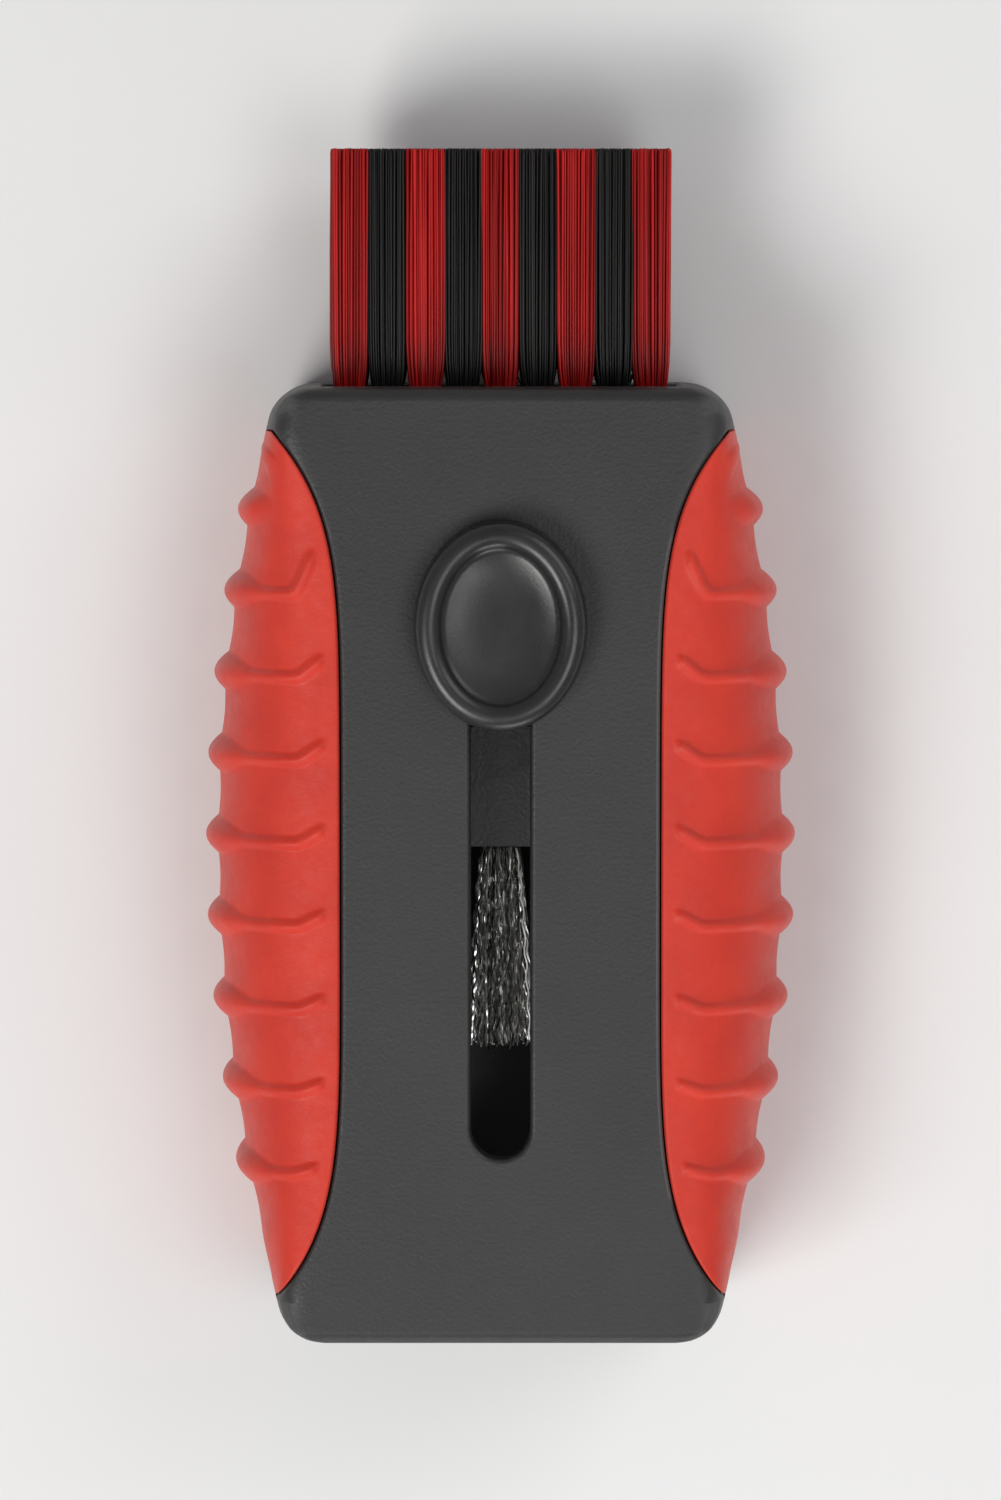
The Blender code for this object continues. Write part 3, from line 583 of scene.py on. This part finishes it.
def shell_stock():
    """The whole housing as one closed body, each flat panel a single face."""
    half = [(i * RECESS_END / STATIONS * 2, True) for i in range(STATIONS // 2 + 1)]
    half.append((RECESS_END + RECESS_END_RUN, False))
    half += [(y * MM, False) for y in CORNER_STATIONS]
    for i in range(1, END_EDGE_STEPS + 1):
        turn = math.pi / 2 * i / END_EDGE_STEPS
        half.append((HALF_LENGTH - END_EDGE_RADIUS * (1 - math.sin(turn)), False))
    stations = [(-y, recessed) for y, recessed in reversed(half[1:])] + half
    bm = bmesh.new()
    rows = []
    for y, recessed in stations:
        right = shell_ring(y, recessed)
        left = [Vector((-p.x, p.y, p.z)) for p in reversed(right)]
        rows.append([bm.verts.new(p) for p in right + left])
    count = len(rows[0])
    half_count = count // 2
    flat_end = HALF_LENGTH - END_EDGE_RADIUS
    uneven = []
    for k, (low, high) in enumerate(zip(rows, rows[1:])):
        flat = max(abs(stations[k][0]), abs(stations[k + 1][0])) <= flat_end + SAME_PLACE
        for i in range(count):
            if flat and i in (half_count - 1, count - 1):
                continue
            j = (i + 1) % count
            uneven.append(bm.faces.new((low[i], low[j], high[j], high[i])))
    for row in (rows[0], rows[-1]):
        bm.faces.new(row)
    flat_rows = [row for row, (y, _) in zip(rows, stations) if abs(y) <= flat_end + SAME_PLACE]
    for right_index, left_index in ((0, count - 1), (half_count - 1, half_count)):
        outline = [row[right_index] for row in flat_rows]
        outline += [row[left_index] for row in reversed(flat_rows)]
        bm.faces.new(outline)
    bmesh.ops.triangulate(bm, faces=uneven)
    return mesh_from(bm, "shell_stock")


def slab(low_z, high_z):
    return cutter(lambda bm: add_box(bm, (-FAR, -FAR, low_z), (FAR, FAR, high_z)))


def channel():
    far = HALF_LENGTH + CUTTER_OVERSHOOT
    low = (-CHANNEL_HALF_WIDTH, -far, MID_Z - CHANNEL_HALF_HEIGHT)
    high = (CHANNEL_HALF_WIDTH, far, MID_Z + CHANNEL_HALF_HEIGHT)
    return cutter(lambda bm: add_box(bm, low, high))


def slot_outline():
    straight = SLOT_HALF_LENGTH - SLOT_HALF_WIDTH
    points = []
    for end in (1, -1):
        for i in range(SLOT_STEPS + 1):
            angle = math.pi * i / SLOT_STEPS + (0 if end > 0 else math.pi)
            x = SLOT_HALF_WIDTH * math.cos(angle)
            points.append((x, end * straight + SLOT_HALF_WIDTH * math.sin(angle)))
    return points


def slot():
    """The thumb slot, from inside the channel to past the front face."""
    outline = slot_outline()
    zs = (MID_Z + 2 * MM, THICKNESS + CUTTER_OVERSHOOT)
    return cutter(lambda bm: loft(bm, [[(x, y, z) for x, y in outline] for z in zs]))


def notches():
    """Pockets for the detent springs' crests at both ends of the travel."""
    travel = frame["joints"][0]["range_m"][1]
    low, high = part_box("detent_spring_right")
    middle = (low.y + high.y) / 2

    def build(bm):
        for y in (middle, middle - travel):
            for side in (1, -1):
                near = side * (CHANNEL_HALF_WIDTH - CUTTER_OVERSHOOT / 2)
                far = side * (CHANNEL_HALF_WIDTH + NOTCH_DEPTH)
                a = (min(near, far), y - NOTCH_HALF_LENGTH, MID_Z - NOTCH_HALF_HEIGHT)
                b = (max(near, far), y + NOTCH_HALF_LENGTH, MID_Z + NOTCH_HALF_HEIGHT)
                add_box(bm, a, b)

    return cutter(build)


def screw_holes():
    """Counterbored holes round the four housing screws."""

    def build(bm):
        for number in range(1, 5):
            low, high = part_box(f"housing_screw_{number}")
            x, y = (low.x + high.x) / 2, (low.y + high.y) / 2
            head = (high.x - low.x) / 2 + FIT_GAP
            shank = SCREW_RADIUS + FIT_GAP
            rings = []
            for z, radius in (
                (-CUTTER_OVERSHOOT, head),
                (SCREW_SEAT_Z, head),
                (SCREW_SEAT_Z, shank),
                (high.z + FIT_GAP, shank),
            ):
                turns = [2 * math.pi * i / SCREW_HOLE_SIDES for i in range(SCREW_HOLE_SIDES)]
                rings.append([(x + radius * math.cos(t), y + radius * math.sin(t), z) for t in turns])
            loft(bm, rings)

    return cutter(build)


def front_core():
    low_z = MID_Z + CHANNEL_HALF_HEIGHT - CUTTER_OVERSHOOT
    low = (-CORE_HALF_WIDTH, -CORE_HALF_LENGTH, low_z)
    high = (CORE_HALF_WIDTH, CORE_HALF_LENGTH, THICKNESS - WALL)
    return cutter(lambda bm: add_box(bm, low, high))


def rear_cores():
    high_z = MID_Z - CHANNEL_HALF_HEIGHT + CUTTER_OVERSHOOT

    def build(bm):
        for side in (1, -1):
            xs = sorted((side * REAR_LAND_HALF_WIDTH, side * CORE_HALF_WIDTH))
            low = (xs[0], -CORE_HALF_LENGTH, WALL)
            add_box(bm, low, (xs[1], CORE_HALF_LENGTH, high_z))

    return cutter(build)


def round_rims(mesh):
    """Round the rims of the slot and of the two mouths."""
    bm = bmesh.new()
    bm.from_mesh(mesh)
    bmesh.ops.remove_doubles(bm, verts=bm.verts, dist=MERGE_DISTANCE)
    slot_rim = []
    mouth_rim = []
    for edge in bm.edges:
        if edge.calc_face_angle(0.0) < RIM_ANGLE:
            continue
        middle = (edge.verts[0].co + edge.verts[1].co) / 2
        in_slot = abs(middle.x) < SLOT_HALF_WIDTH + RIM_SEARCH
        in_slot = in_slot and abs(middle.y) < SLOT_HALF_LENGTH + RIM_SEARCH
        in_mouth = abs(middle.x) < CHANNEL_HALF_WIDTH + RIM_SEARCH
        if in_slot and min(v.co.z for v in edge.verts) > THICKNESS - RIM_SEARCH:
            slot_rim.append(edge)
        elif in_mouth and min(abs(v.co.y) for v in edge.verts) > HALF_LENGTH - RIM_SEARCH:
            mouth_rim.append(edge)
    for rim, width in ((slot_rim, SLOT_FILLET), (mouth_rim, MOUTH_FILLET)):
        if rim:
            bmesh.ops.bevel(
                bm,
                geom=rim,
                offset=width,
                segments=FILLET_SEGMENTS,
                profile=0.5,
                affect="EDGES",
                clamp_overlap=True,
            )
    bm.to_mesh(mesh)
    bm.free()
    return mesh


def build_shells(mat):
    below = slab(-SLAB_OVERSHOOT, MID_Z + SEAM / 2)
    above = slab(MID_Z - SEAM / 2, THICKNESS + SLAB_OVERSHOOT)
    front_tools = [below, channel(), notches(), screw_holes(), front_core(), slot()]
    rear_tools = [above, channel(), notches(), screw_holes(), rear_cores()]
    front = cut_all(shell_stock(), front_tools)
    rear = cut_all(shell_stock(), rear_tools)
    for name, mesh, node in (
        ("front_shell_moulding", front, "front_shell"),
        ("rear_shell_moulding", rear, "rear_shell"),
    ):
        obj = object_from(name, round_rims(mesh), mat)
        smooth(obj)
        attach(obj, "housing")
        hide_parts(node)


# ---------------------------------------------------------------- rubber grips


def ease(value):
    value = max(0.0, min(1.0, value))
    return value * value * (3 - 2 * value)


def rib_turn(rib):
    """How far a rib's inner end turns up towards the nylon brush, more so at that end."""
    last = RIB_COUNT // 2
    turn = RIB_TURN + RIB_TURN_STEP * (rib + last)
    if rib >= last - 1:
        turn += LAST_RIBS_TURN
    return turn


def rib_lift(y, x):
    """Height of the raised ribs: bold lobes round the side, slim welts across the faces.

    A welt stops short of the grip's inner edge, where it turns up. The rib nearest the nylon
    brush is only a lobe at the side, and the rubber dips slightly between ribs.
    """
    inward = x - lens_x(y)
    outward = side_x(y) - x
    bold = ease(1 - (outward - LOBE_START) / LOBE_FADE)
    fade = ease((inward - WELT_START) / WELT_FADE)
    position = max(0.0, min(1.0, 1 - (inward - TURN_START) / TURN_SPAN))
    turn_share = ease(position)
    turn_slope = 6 * position * (1 - position) / TURN_SPAN  # the derivative of ease
    half_width = WELT_HALF_WIDTH + LOBE_EXTRA_HALF_WIDTH * bold
    height = WELT_HEIGHT + LOBE_EXTRA_HEIGHT * bold
    lift = 0.0
    last = RIB_COUNT // 2
    guess = round((y - RIB_CENTRE_Y) / RIB_PITCH)
    for rib in range(max(guess - 1, -last), min(guess + 1, last) + 1):
        away = y - RIB_CENTRE_Y - rib * RIB_PITCH - rib_turn(rib) * turn_share
        slant = math.sqrt(1 + (rib_turn(rib) * turn_slope) ** 2)
        share = abs(away) / (half_width * slant)
        scale = bold**2 if rib == last else 1.0
        if share < 1.0:
            profile = (1 - share * share) ** RIB_PROFILE_POWER
            lift = max(lift, scale * height * fade * profile)
    between = (y - RIB_CENTRE_Y) / RIB_PITCH % 1.0
    along = ease((GRIP_END - abs(y)) / DIP_FADE)
    dip = DIP_DEPTH * math.sin(math.pi * between) ** 2 * bold * fade * along
    return lift - dip


def lens_angle(y):
    """Where the grip's inner edge lies on the rounded side, as an angle of side_point."""
    share = (lens_x(y) - panel_x(y)) / (side_x(y) - panel_x(y))
    if share <= 0:
        return math.pi / 2
    return math.acos(min(share, 1.0) ** (roundness(y) / 2))


def grip_ring(y, side):
    """Outer curve from front to back with rounded lips, then the hidden inner curve."""
    limit = lens_angle(y)
    edge = lens_x(y)
    outer = []
    inner = []
    for i in range(GRIP_POINTS):
        share = 1 - 2 * i / (GRIP_POINTS - 1)
        spaced = math.copysign(1 - (1 - abs(share)) ** GRIP_POINT_SPACING, share)
        angle = limit * spaced
        x, z = side_point(y, angle)
        lift = rib_lift(y, x)
        from_edge = max(x - edge, 0.0)
        drop = 0.0
        if from_edge < GRIP_LIP:
            drop = GRIP_LIP - math.sqrt(max(GRIP_LIP**2 - (GRIP_LIP - from_edge) ** 2, 0.0))
        drop = min(drop, GRIP_LIP_SHARE * abs(z))
        z += lift * math.sin(angle) - math.copysign(drop, z)
        outer.append((x + lift * math.cos(angle), max(z, -MID_Z)))
    reach = abs(outer[0][1]) * GRIP_INNER_REACH
    for i in range(GRIP_INNER_POINTS):
        angle = math.pi * (0.5 - i / (GRIP_INNER_POINTS - 1))
        x, z = side_point(y, angle, inset=GRIP_THICKNESS)
        from_end = min(i, GRIP_INNER_POINTS - 1 - i)
        limit_z = reach * (1 - GRIP_INNER_STEP * from_end)
        inner.append((max(edge, x), max(-limit_z, min(limit_z, z))))
    return [Vector((side * x, y, MID_Z + z)) for x, z in outer + inner[::-1]]


def build_grips(mat):
    for side, name in ((-1, "left_grip"), (1, "right_grip")):
        bm = bmesh.new()
        rows = []
        for k in range(GRIP_STATIONS + 1):
            y = -GRIP_END + 2 * GRIP_END * k / GRIP_STATIONS
            rows.append([bm.verts.new(p) for p in grip_ring(y, side)])
        count = len(rows[0])
        for low, high in zip(rows, rows[1:]):
            for i in range(count):
                j = (i + 1) % count
                bm.faces.new((low[i], low[j], high[j], high[i]))
        caps = [bm.faces.new(row) for row in (rows[0], rows[-1])]
        bmesh.ops.triangulate(bm, faces=caps)
        obj = object_from(name + "_rubber", mesh_from(bm, name), mat)
        smooth(obj, degrees=60)
        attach(obj, "housing")
        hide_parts(name)


# ---------------------------------------------------------------- thumb button


def button_profile(crown):
    """(inset in mm, height) pairs, from under the pad, up and over its rim, into the dish."""
    face = THICKNESS + BUTTON_GAP
    profile = [(0.5, face), (0.12, face + 0.02 * MM), (0.0, face + 0.25 * MM)]
    profile.append((BUTTON_DRAFT, crown - BUTTON_RIM))
    for i in range(1, BUTTON_RIM_STEPS + 1):
        turn = math.pi * BUTTON_RIM_TURN * i / BUTTON_RIM_STEPS
        inset = BUTTON_DRAFT + (BUTTON_RIM / MM) * (1 - math.cos(turn))
        profile.append((inset, crown - BUTTON_RIM + BUTTON_RIM * math.sin(turn)))
    dish_start, dish_z = profile[-1]
    for i in range(1, DISH_STEPS + 1):
        share = i / DISH_STEPS
        depth = DISH_DEPTH * (1 - (1 - share) ** 3)
        profile.append((dish_start + (DISH_CENTRE_INSET - dish_start) * share, dish_z - depth))
    return profile


def build_button(mat):
    """Oval pad on a round-ended stem: rolled rim, then a smooth dish for the thumb."""
    low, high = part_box("thumb_button")
    centre_y = (low.y + high.y) / 2
    half_x = (high.x - low.x) / 2
    half_y = (high.y - low.y) / 2
    turns = [2 * math.pi * (i + 0.5) / BUTTON_SIDES for i in range(BUTTON_SIDES)]
    rings = []
    for z in (low.z, THICKNESS + BUTTON_GAP):
        ring = []
        for turn in turns:
            y = math.copysign(STEM_HALF_STRAIGHT, math.sin(turn)) + STEM_HALF_WIDTH * math.sin(turn)
            ring.append((STEM_HALF_WIDTH * math.cos(turn), centre_y + y, z))
        rings.append(ring)
    for inset, z in button_profile(high.z):
        radius_x = max(half_x - inset * MM, DISH_CENTRE_RADIUS)
        radius_y = max(half_y - inset * MM, DISH_CENTRE_RADIUS)
        ring = [(radius_x * math.cos(t), centre_y + radius_y * math.sin(t), z) for t in turns]
        rings.append(ring)
    bm = bmesh.new()
    loft(bm, rings)
    obj = object_from("thumb_button_pad", mesh_from(bm, "thumb_button"), mat)
    smooth(obj, degrees=50)
    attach(obj, "carriage")
    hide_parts("thumb_button")


# ---------------------------------------------------------------- carriage


def build_carriage(mat):
    """The CAD carriage's own mesh, copied, with clean flats and rounded edges."""
    mesh = frame["nodes"]["brush_carriage"].data.copy()
    bm = bmesh.new()
    bm.from_mesh(mesh)
    bmesh.ops.remove_doubles(bm, verts=bm.verts, dist=CARRIAGE_MERGE_DISTANCE)
    bmesh.ops.dissolve_limit(bm, angle_limit=math.radians(2), verts=bm.verts, edges=bm.edges)
    bm.to_mesh(mesh)
    bm.free()
    obj = object_from("brush_carriage_moulding", mesh, mat)
    bevel = obj.modifiers.new("rounded", "BEVEL")
    bevel.width = CARRIAGE_EDGE
    bevel.segments = 2
    bevel.limit_method = "ANGLE"
    bevel.angle_limit = math.radians(40)
    smooth(obj, degrees=40)
    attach(obj, "carriage")
    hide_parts("brush_carriage")


# ---------------------------------------------------------------- bristles


def build_nylon(red, black):
    """Nine columns of straight nylon filaments, cut flat, fanning out of their holes."""
    rng = np.random.RandomState(NYLON_SEED)
    mouth_y = carriage_high.y
    tip_y = nylon_high.y
    half_z = (nylon_high.z - nylon_low.z) / 2
    across = (np.arange(NYLON_ACROSS) + 0.5) / NYLON_ACROSS
    deep = (np.arange(NYLON_DEEP) + 0.5) / NYLON_DEEP
    stagger = 0.5 / NYLON_ACROSS * (np.arange(NYLON_DEEP)[:, None] % 2 - 0.5)
    marks = np.array(NYLON_MARKS)
    for column in range(1, 10):
        low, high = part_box(f"nylon_tuft_{column}")
        centre_x = (low.x + high.x) / 2
        u, v = np.meshgrid(across, deep)
        u = (u + stagger).ravel() * 2 - 1
        v = v.ravel() * 2 - 1
        count = u.size
        u = u + rng.normal(0, NYLON_JITTER / NYLON_ACROSS, count)
        v = v + rng.normal(0, NYLON_JITTER / NYLON_DEEP, count)
        strays = rng.rand(count) < NYLON_STRAY_SHARE
        tip_x = u * NYLON_COLUMN_HALF_WIDTH + rng.normal(0, NYLON_TIP_SPREAD_X, count)
        tip_x = tip_x + strays * rng.normal(0, NYLON_STRAY, count)
        tip_z = v * half_z + rng.normal(0, NYLON_TIP_SPREAD_Z, count)
        tip_z = tip_z + strays * rng.normal(0, NYLON_STRAY, count)
        tip_x = tip_x.clip(-NYLON_BRUSH_HALF_WIDTH - centre_x, NYLON_BRUSH_HALF_WIDTH - centre_x)
        tip_z = tip_z.clip(-BRISTLE_HALF_HEIGHT, BRISTLE_HALF_HEIGHT)
        root_x = u * NYLON_HOLE_HALF_WIDTH
        root_z = v * NYLON_HOLE_HALF_HEIGHT
        root_y = mouth_y - ROOT_DEPTH
        tips = tip_y - np.abs(rng.normal(0, NYLON_CUT_SPREAD, count))
        tips = tips - strays * rng.rand(count) * NYLON_STRAY_SHORT
        ys = root_y + (tips - root_y)[:, None] * marks[None, :]
        out = 1 - np.exp(-np.maximum(ys - mouth_y, 0.0) / NYLON_FAN)
        lean = ((ys - mouth_y) / (tip_y - mouth_y)).clip(0, 1) ** 2
        bend_x = rng.normal(0, NYLON_BEND, count)[:, None] * lean
        bend_z = rng.normal(0, NYLON_BEND, count)[:, None] * lean
        xs = centre_x + root_x[:, None] + (tip_x - root_x)[:, None] * out + bend_x
        zs = MID_Z + root_z[:, None] + (tip_z - root_z)[:, None] * out + bend_z
        radii = np.full((count, marks.size), NYLON_RADIUS)
        radii[:, -1] = NYLON_TIP_RADIUS
        centres = np.stack([xs, ys, zs], axis=-1)
        phases = rng.rand(count) * math.pi
        name = f"nylon_tuft_{column}"
        mesh = tube_mesh(name, centres, radii, NYLON_SIDES, phases, rng.rand(count))
        odd = column % 2 == 1
        obj = object_from(name + "_filaments", mesh, red if odd else black)
        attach(obj, "carriage")
        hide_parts(name)


def build_wires(mat):
    """Ten tufts of crimped steel wire, wavy along their length and splayed at the tips."""
    rng = np.random.RandomState(WIRE_SEED)
    count = WIRE_COUNT
    mouth_y = carriage_low.y
    root_y = mouth_y + ROOT_DEPTH
    reach = np.sqrt((np.arange(count) + 0.5) / count)
    root_r = WIRE_ROOT_SPREAD * reach
    tip_r = WIRE_TIP_SPREAD * reach
    share = np.linspace(0, 1, WIRE_STEPS)
    for number in range(1, 11):
        low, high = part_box(f"wire_tuft_{number}")
        centre_x = (low.x + high.x) / 2
        centre_z = (low.z + high.z) / 2
        turn = rng.rand(count) * 2 * math.pi
        tips = low.y + np.abs(rng.normal(0, WIRE_CUT_SPREAD, count))
        ys = root_y + (tips - root_y)[:, None] * share[None, :]
        along = ((mouth_y - ys) / (mouth_y - low.y)).clip(0, 1)
        radius = root_r[:, None] + (tip_r - root_r)[:, None] * along**WIRE_SPREAD_POWER
        wave = rng.uniform(*CRIMP_LENGTHS, count)[:, None] * MM
        phase = rng.rand(count)[:, None] * 2 * math.pi
        crimp = rng.uniform(*CRIMP_HEIGHTS, count)[:, None] * MM
        crimp = crimp * np.minimum(along * CRIMP_ONSET, 1.0)
        plane = rng.rand(count) * math.pi
        swing = crimp * np.sin(2 * math.pi * ys / wave + phase)
        lean_x = rng.normal(0, WIRE_LEAN_X, count)[:, None] * along**WIRE_LEAN_POWER
        lean_z = rng.normal(0, WIRE_LEAN_Z, count)[:, None] * along**WIRE_LEAN_POWER
        xs = centre_x + radius * np.cos(turn)[:, None] + swing * np.cos(plane)[:, None] + lean_x
        zs = centre_z + radius * np.sin(turn)[:, None] + swing * np.sin(plane)[:, None] + lean_z
        zs = zs.clip(MID_Z - BRISTLE_HALF_HEIGHT, MID_Z + BRISTLE_HALF_HEIGHT)
        xs = xs.clip(-WIRE_BRUSH_HALF_WIDTH, WIRE_BRUSH_HALF_WIDTH)
        centres = np.stack([xs, ys, zs], axis=-1)
        radii = np.full((count, WIRE_STEPS), WIRE_RADIUS)
        name = f"wire_tuft_{number}"
        mesh = tube_mesh(name, centres, radii, WIRE_SIDES, phase.ravel(), rng.rand(count))
        obj = object_from(name + "_wires", mesh, mat)
        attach(obj, "carriage")
        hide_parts(name)


# ---------------------------------------------------------------- hidden metal


def dress_hidden_metal():
    """Metal for the CAD nodes that keep their own meshes: anchors, springs and screws."""
    anchor = steel("anchor_steel_rolled", (0.55, 0.53, 0.48), low=0.3, high=0.5)
    spring = steel("spring_steel_rolled", (0.50, 0.50, 0.52), low=0.2, high=0.38)
    zinc = steel(
        "screw_zinc_plate",
        (0.58, 0.58, 0.60),
        low=0.28,
        high=0.5,
        scale=2200,
        stretch=(1.0, 1.0, 0.2),
    )
    for name, node in frame["nodes"].items():
        if "anchor" in name:
            mat = anchor
        elif "spring" in name:
            mat = spring
        elif "screw" in name:
            mat = zinc
        else:
            continue
        node.data.materials.clear()
        node.data.materials.append(mat)


# ---------------------------------------------------------------- studio


def build_floor():
    """A wide pale floor that curves up into a round backdrop, very slightly uneven in tone."""
    mat, nodes, links, shader = new_material("pale_floor")
    cloud = noise(nodes, links, scale=6, detail=4)
    colour = ramp(
        nodes,
        links,
        cloud.outputs["Fac"],
        [(0.3, (0.74, 0.74, 0.735)), (0.7, (0.80, 0.80, 0.80))],
    )
    links.new(colour.outputs["Color"], shader.inputs["Base Color"])
    shader.inputs["Roughness"].default_value = 0.75
    profile = [(FLOOR_FLAT * i / FLOOR_RINGS, 0.0) for i in range(1, FLOOR_RINGS + 1)]
    for i in range(1, FLOOR_CURVE_STEPS + 1):
        turn = math.pi / 2 * i / FLOOR_CURVE_STEPS
        radius = FLOOR_FLAT + FLOOR_CURVE * math.sin(turn)
        profile.append((radius, FLOOR_CURVE * (1 - math.cos(turn))))
    profile.append((FLOOR_FLAT + FLOOR_CURVE, FLOOR_TOP))
    bm = bmesh.new()
    rows = []
    turns = [2 * math.pi * i / FLOOR_SIDES for i in range(FLOOR_SIDES)]
    for radius, z in profile:
        rows.append([bm.verts.new((radius * math.cos(t), radius * math.sin(t), z)) for t in turns])
    bm.faces.new(rows[0])
    for low, high in zip(rows, rows[1:]):
        for i in range(FLOOR_SIDES):
            j = (i + 1) % FLOOR_SIDES
            bm.faces.new((low[i], high[i], high[j], low[j]))
    mesh = bpy.data.meshes.new("floor")
    bm.to_mesh(mesh)
    bm.free()
    mesh.shade_smooth()
    obj = object_from("floor", mesh, mat)
    obj.location.z = -FLOOR_DROP


def area_light(name, place, target, size, energy, colour=(1.0, 1.0, 1.0)):
    """A soft rectangle of light at place, in metres, facing target; energy is in watts."""
    light = bpy.data.lights.new(name, "AREA")
    light.shape = "RECTANGLE"
    light.size, light.size_y = size
    light.energy = energy
    light.color = colour
    obj = bpy.data.objects.new(name, light)
    bpy.context.scene.collection.objects.link(obj)
    obj.location = place
    aim = Vector(target) - Vector(place)
    obj.rotation_euler = aim.to_track_quat("-Z", "Y").to_euler()


def build_lights():
    world = bpy.data.worlds.new("studio")
    bpy.context.scene.world = world
    world.use_nodes = True
    background = world.node_tree.nodes["Background"]
    background.inputs["Color"].default_value = (0.93, 0.95, 1.0, 1.0)
    background.inputs["Strength"].default_value = 0.27
    aim = (0.0, 0.0, 0.01)
    warm = (1.0, 0.985, 0.96)
    area_light("key", (-0.55, -0.50, 0.95), aim, size=(0.60, 0.50), energy=9.2, colour=warm)
    area_light("fill", (0.70, 0.55, 0.70), aim, size=(0.60, 0.60), energy=2.6)
    area_light("top", (0.36, -0.20, 0.95), aim, size=(0.45, 0.45), energy=2.2)
    area_light("low", (0.18, -1.00, 0.22), aim, size=(0.50, 0.30), energy=2.2)


def build_camera():
    """The photograph's view: almost square on, from slightly towards the nylon end."""
    target = Vector((0.0, (nylon_high.y - HALF_LENGTH) / 2, THICKNESS))
    camera = bpy.data.cameras.new("camera")
    camera.sensor_width = CAMERA_SENSOR
    camera.lens = CAMERA_SENSOR * CAMERA_DISTANCE / FRAME_HEIGHT
    camera.clip_start = 0.01
    obj = bpy.data.objects.new("camera", camera)
    bpy.context.scene.collection.objects.link(obj)
    away = Vector((0.0, math.sin(CAMERA_TILT), math.cos(CAMERA_TILT)))
    obj.location = target + CAMERA_DISTANCE * away
    obj.rotation_euler = (-CAMERA_TILT, 0.0, 0.0)
    bpy.context.scene.camera = obj
    bpy.context.scene.view_settings.view_transform = "Standard"


# ---------------------------------------------------------------- build


build_camera()
plastic = black_plastic()
build_shells(plastic)
build_grips(red_rubber())
build_button(satin_plastic())
build_carriage(plastic)
build_nylon(
    red=nylon("red_nylon_filament", dark=(0.30, 0.003, 0.003), bright=(0.74, 0.012, 0.010)),
    black=nylon(
        "black_nylon_filament", dark=(0.004, 0.004, 0.004), bright=(0.020, 0.019, 0.018)
    ),
)
build_wires(steel("crimped_steel_wire", (0.86, 0.85, 0.82), low=0.16, high=0.34))
dress_hidden_metal()
build_floor()
build_lights()
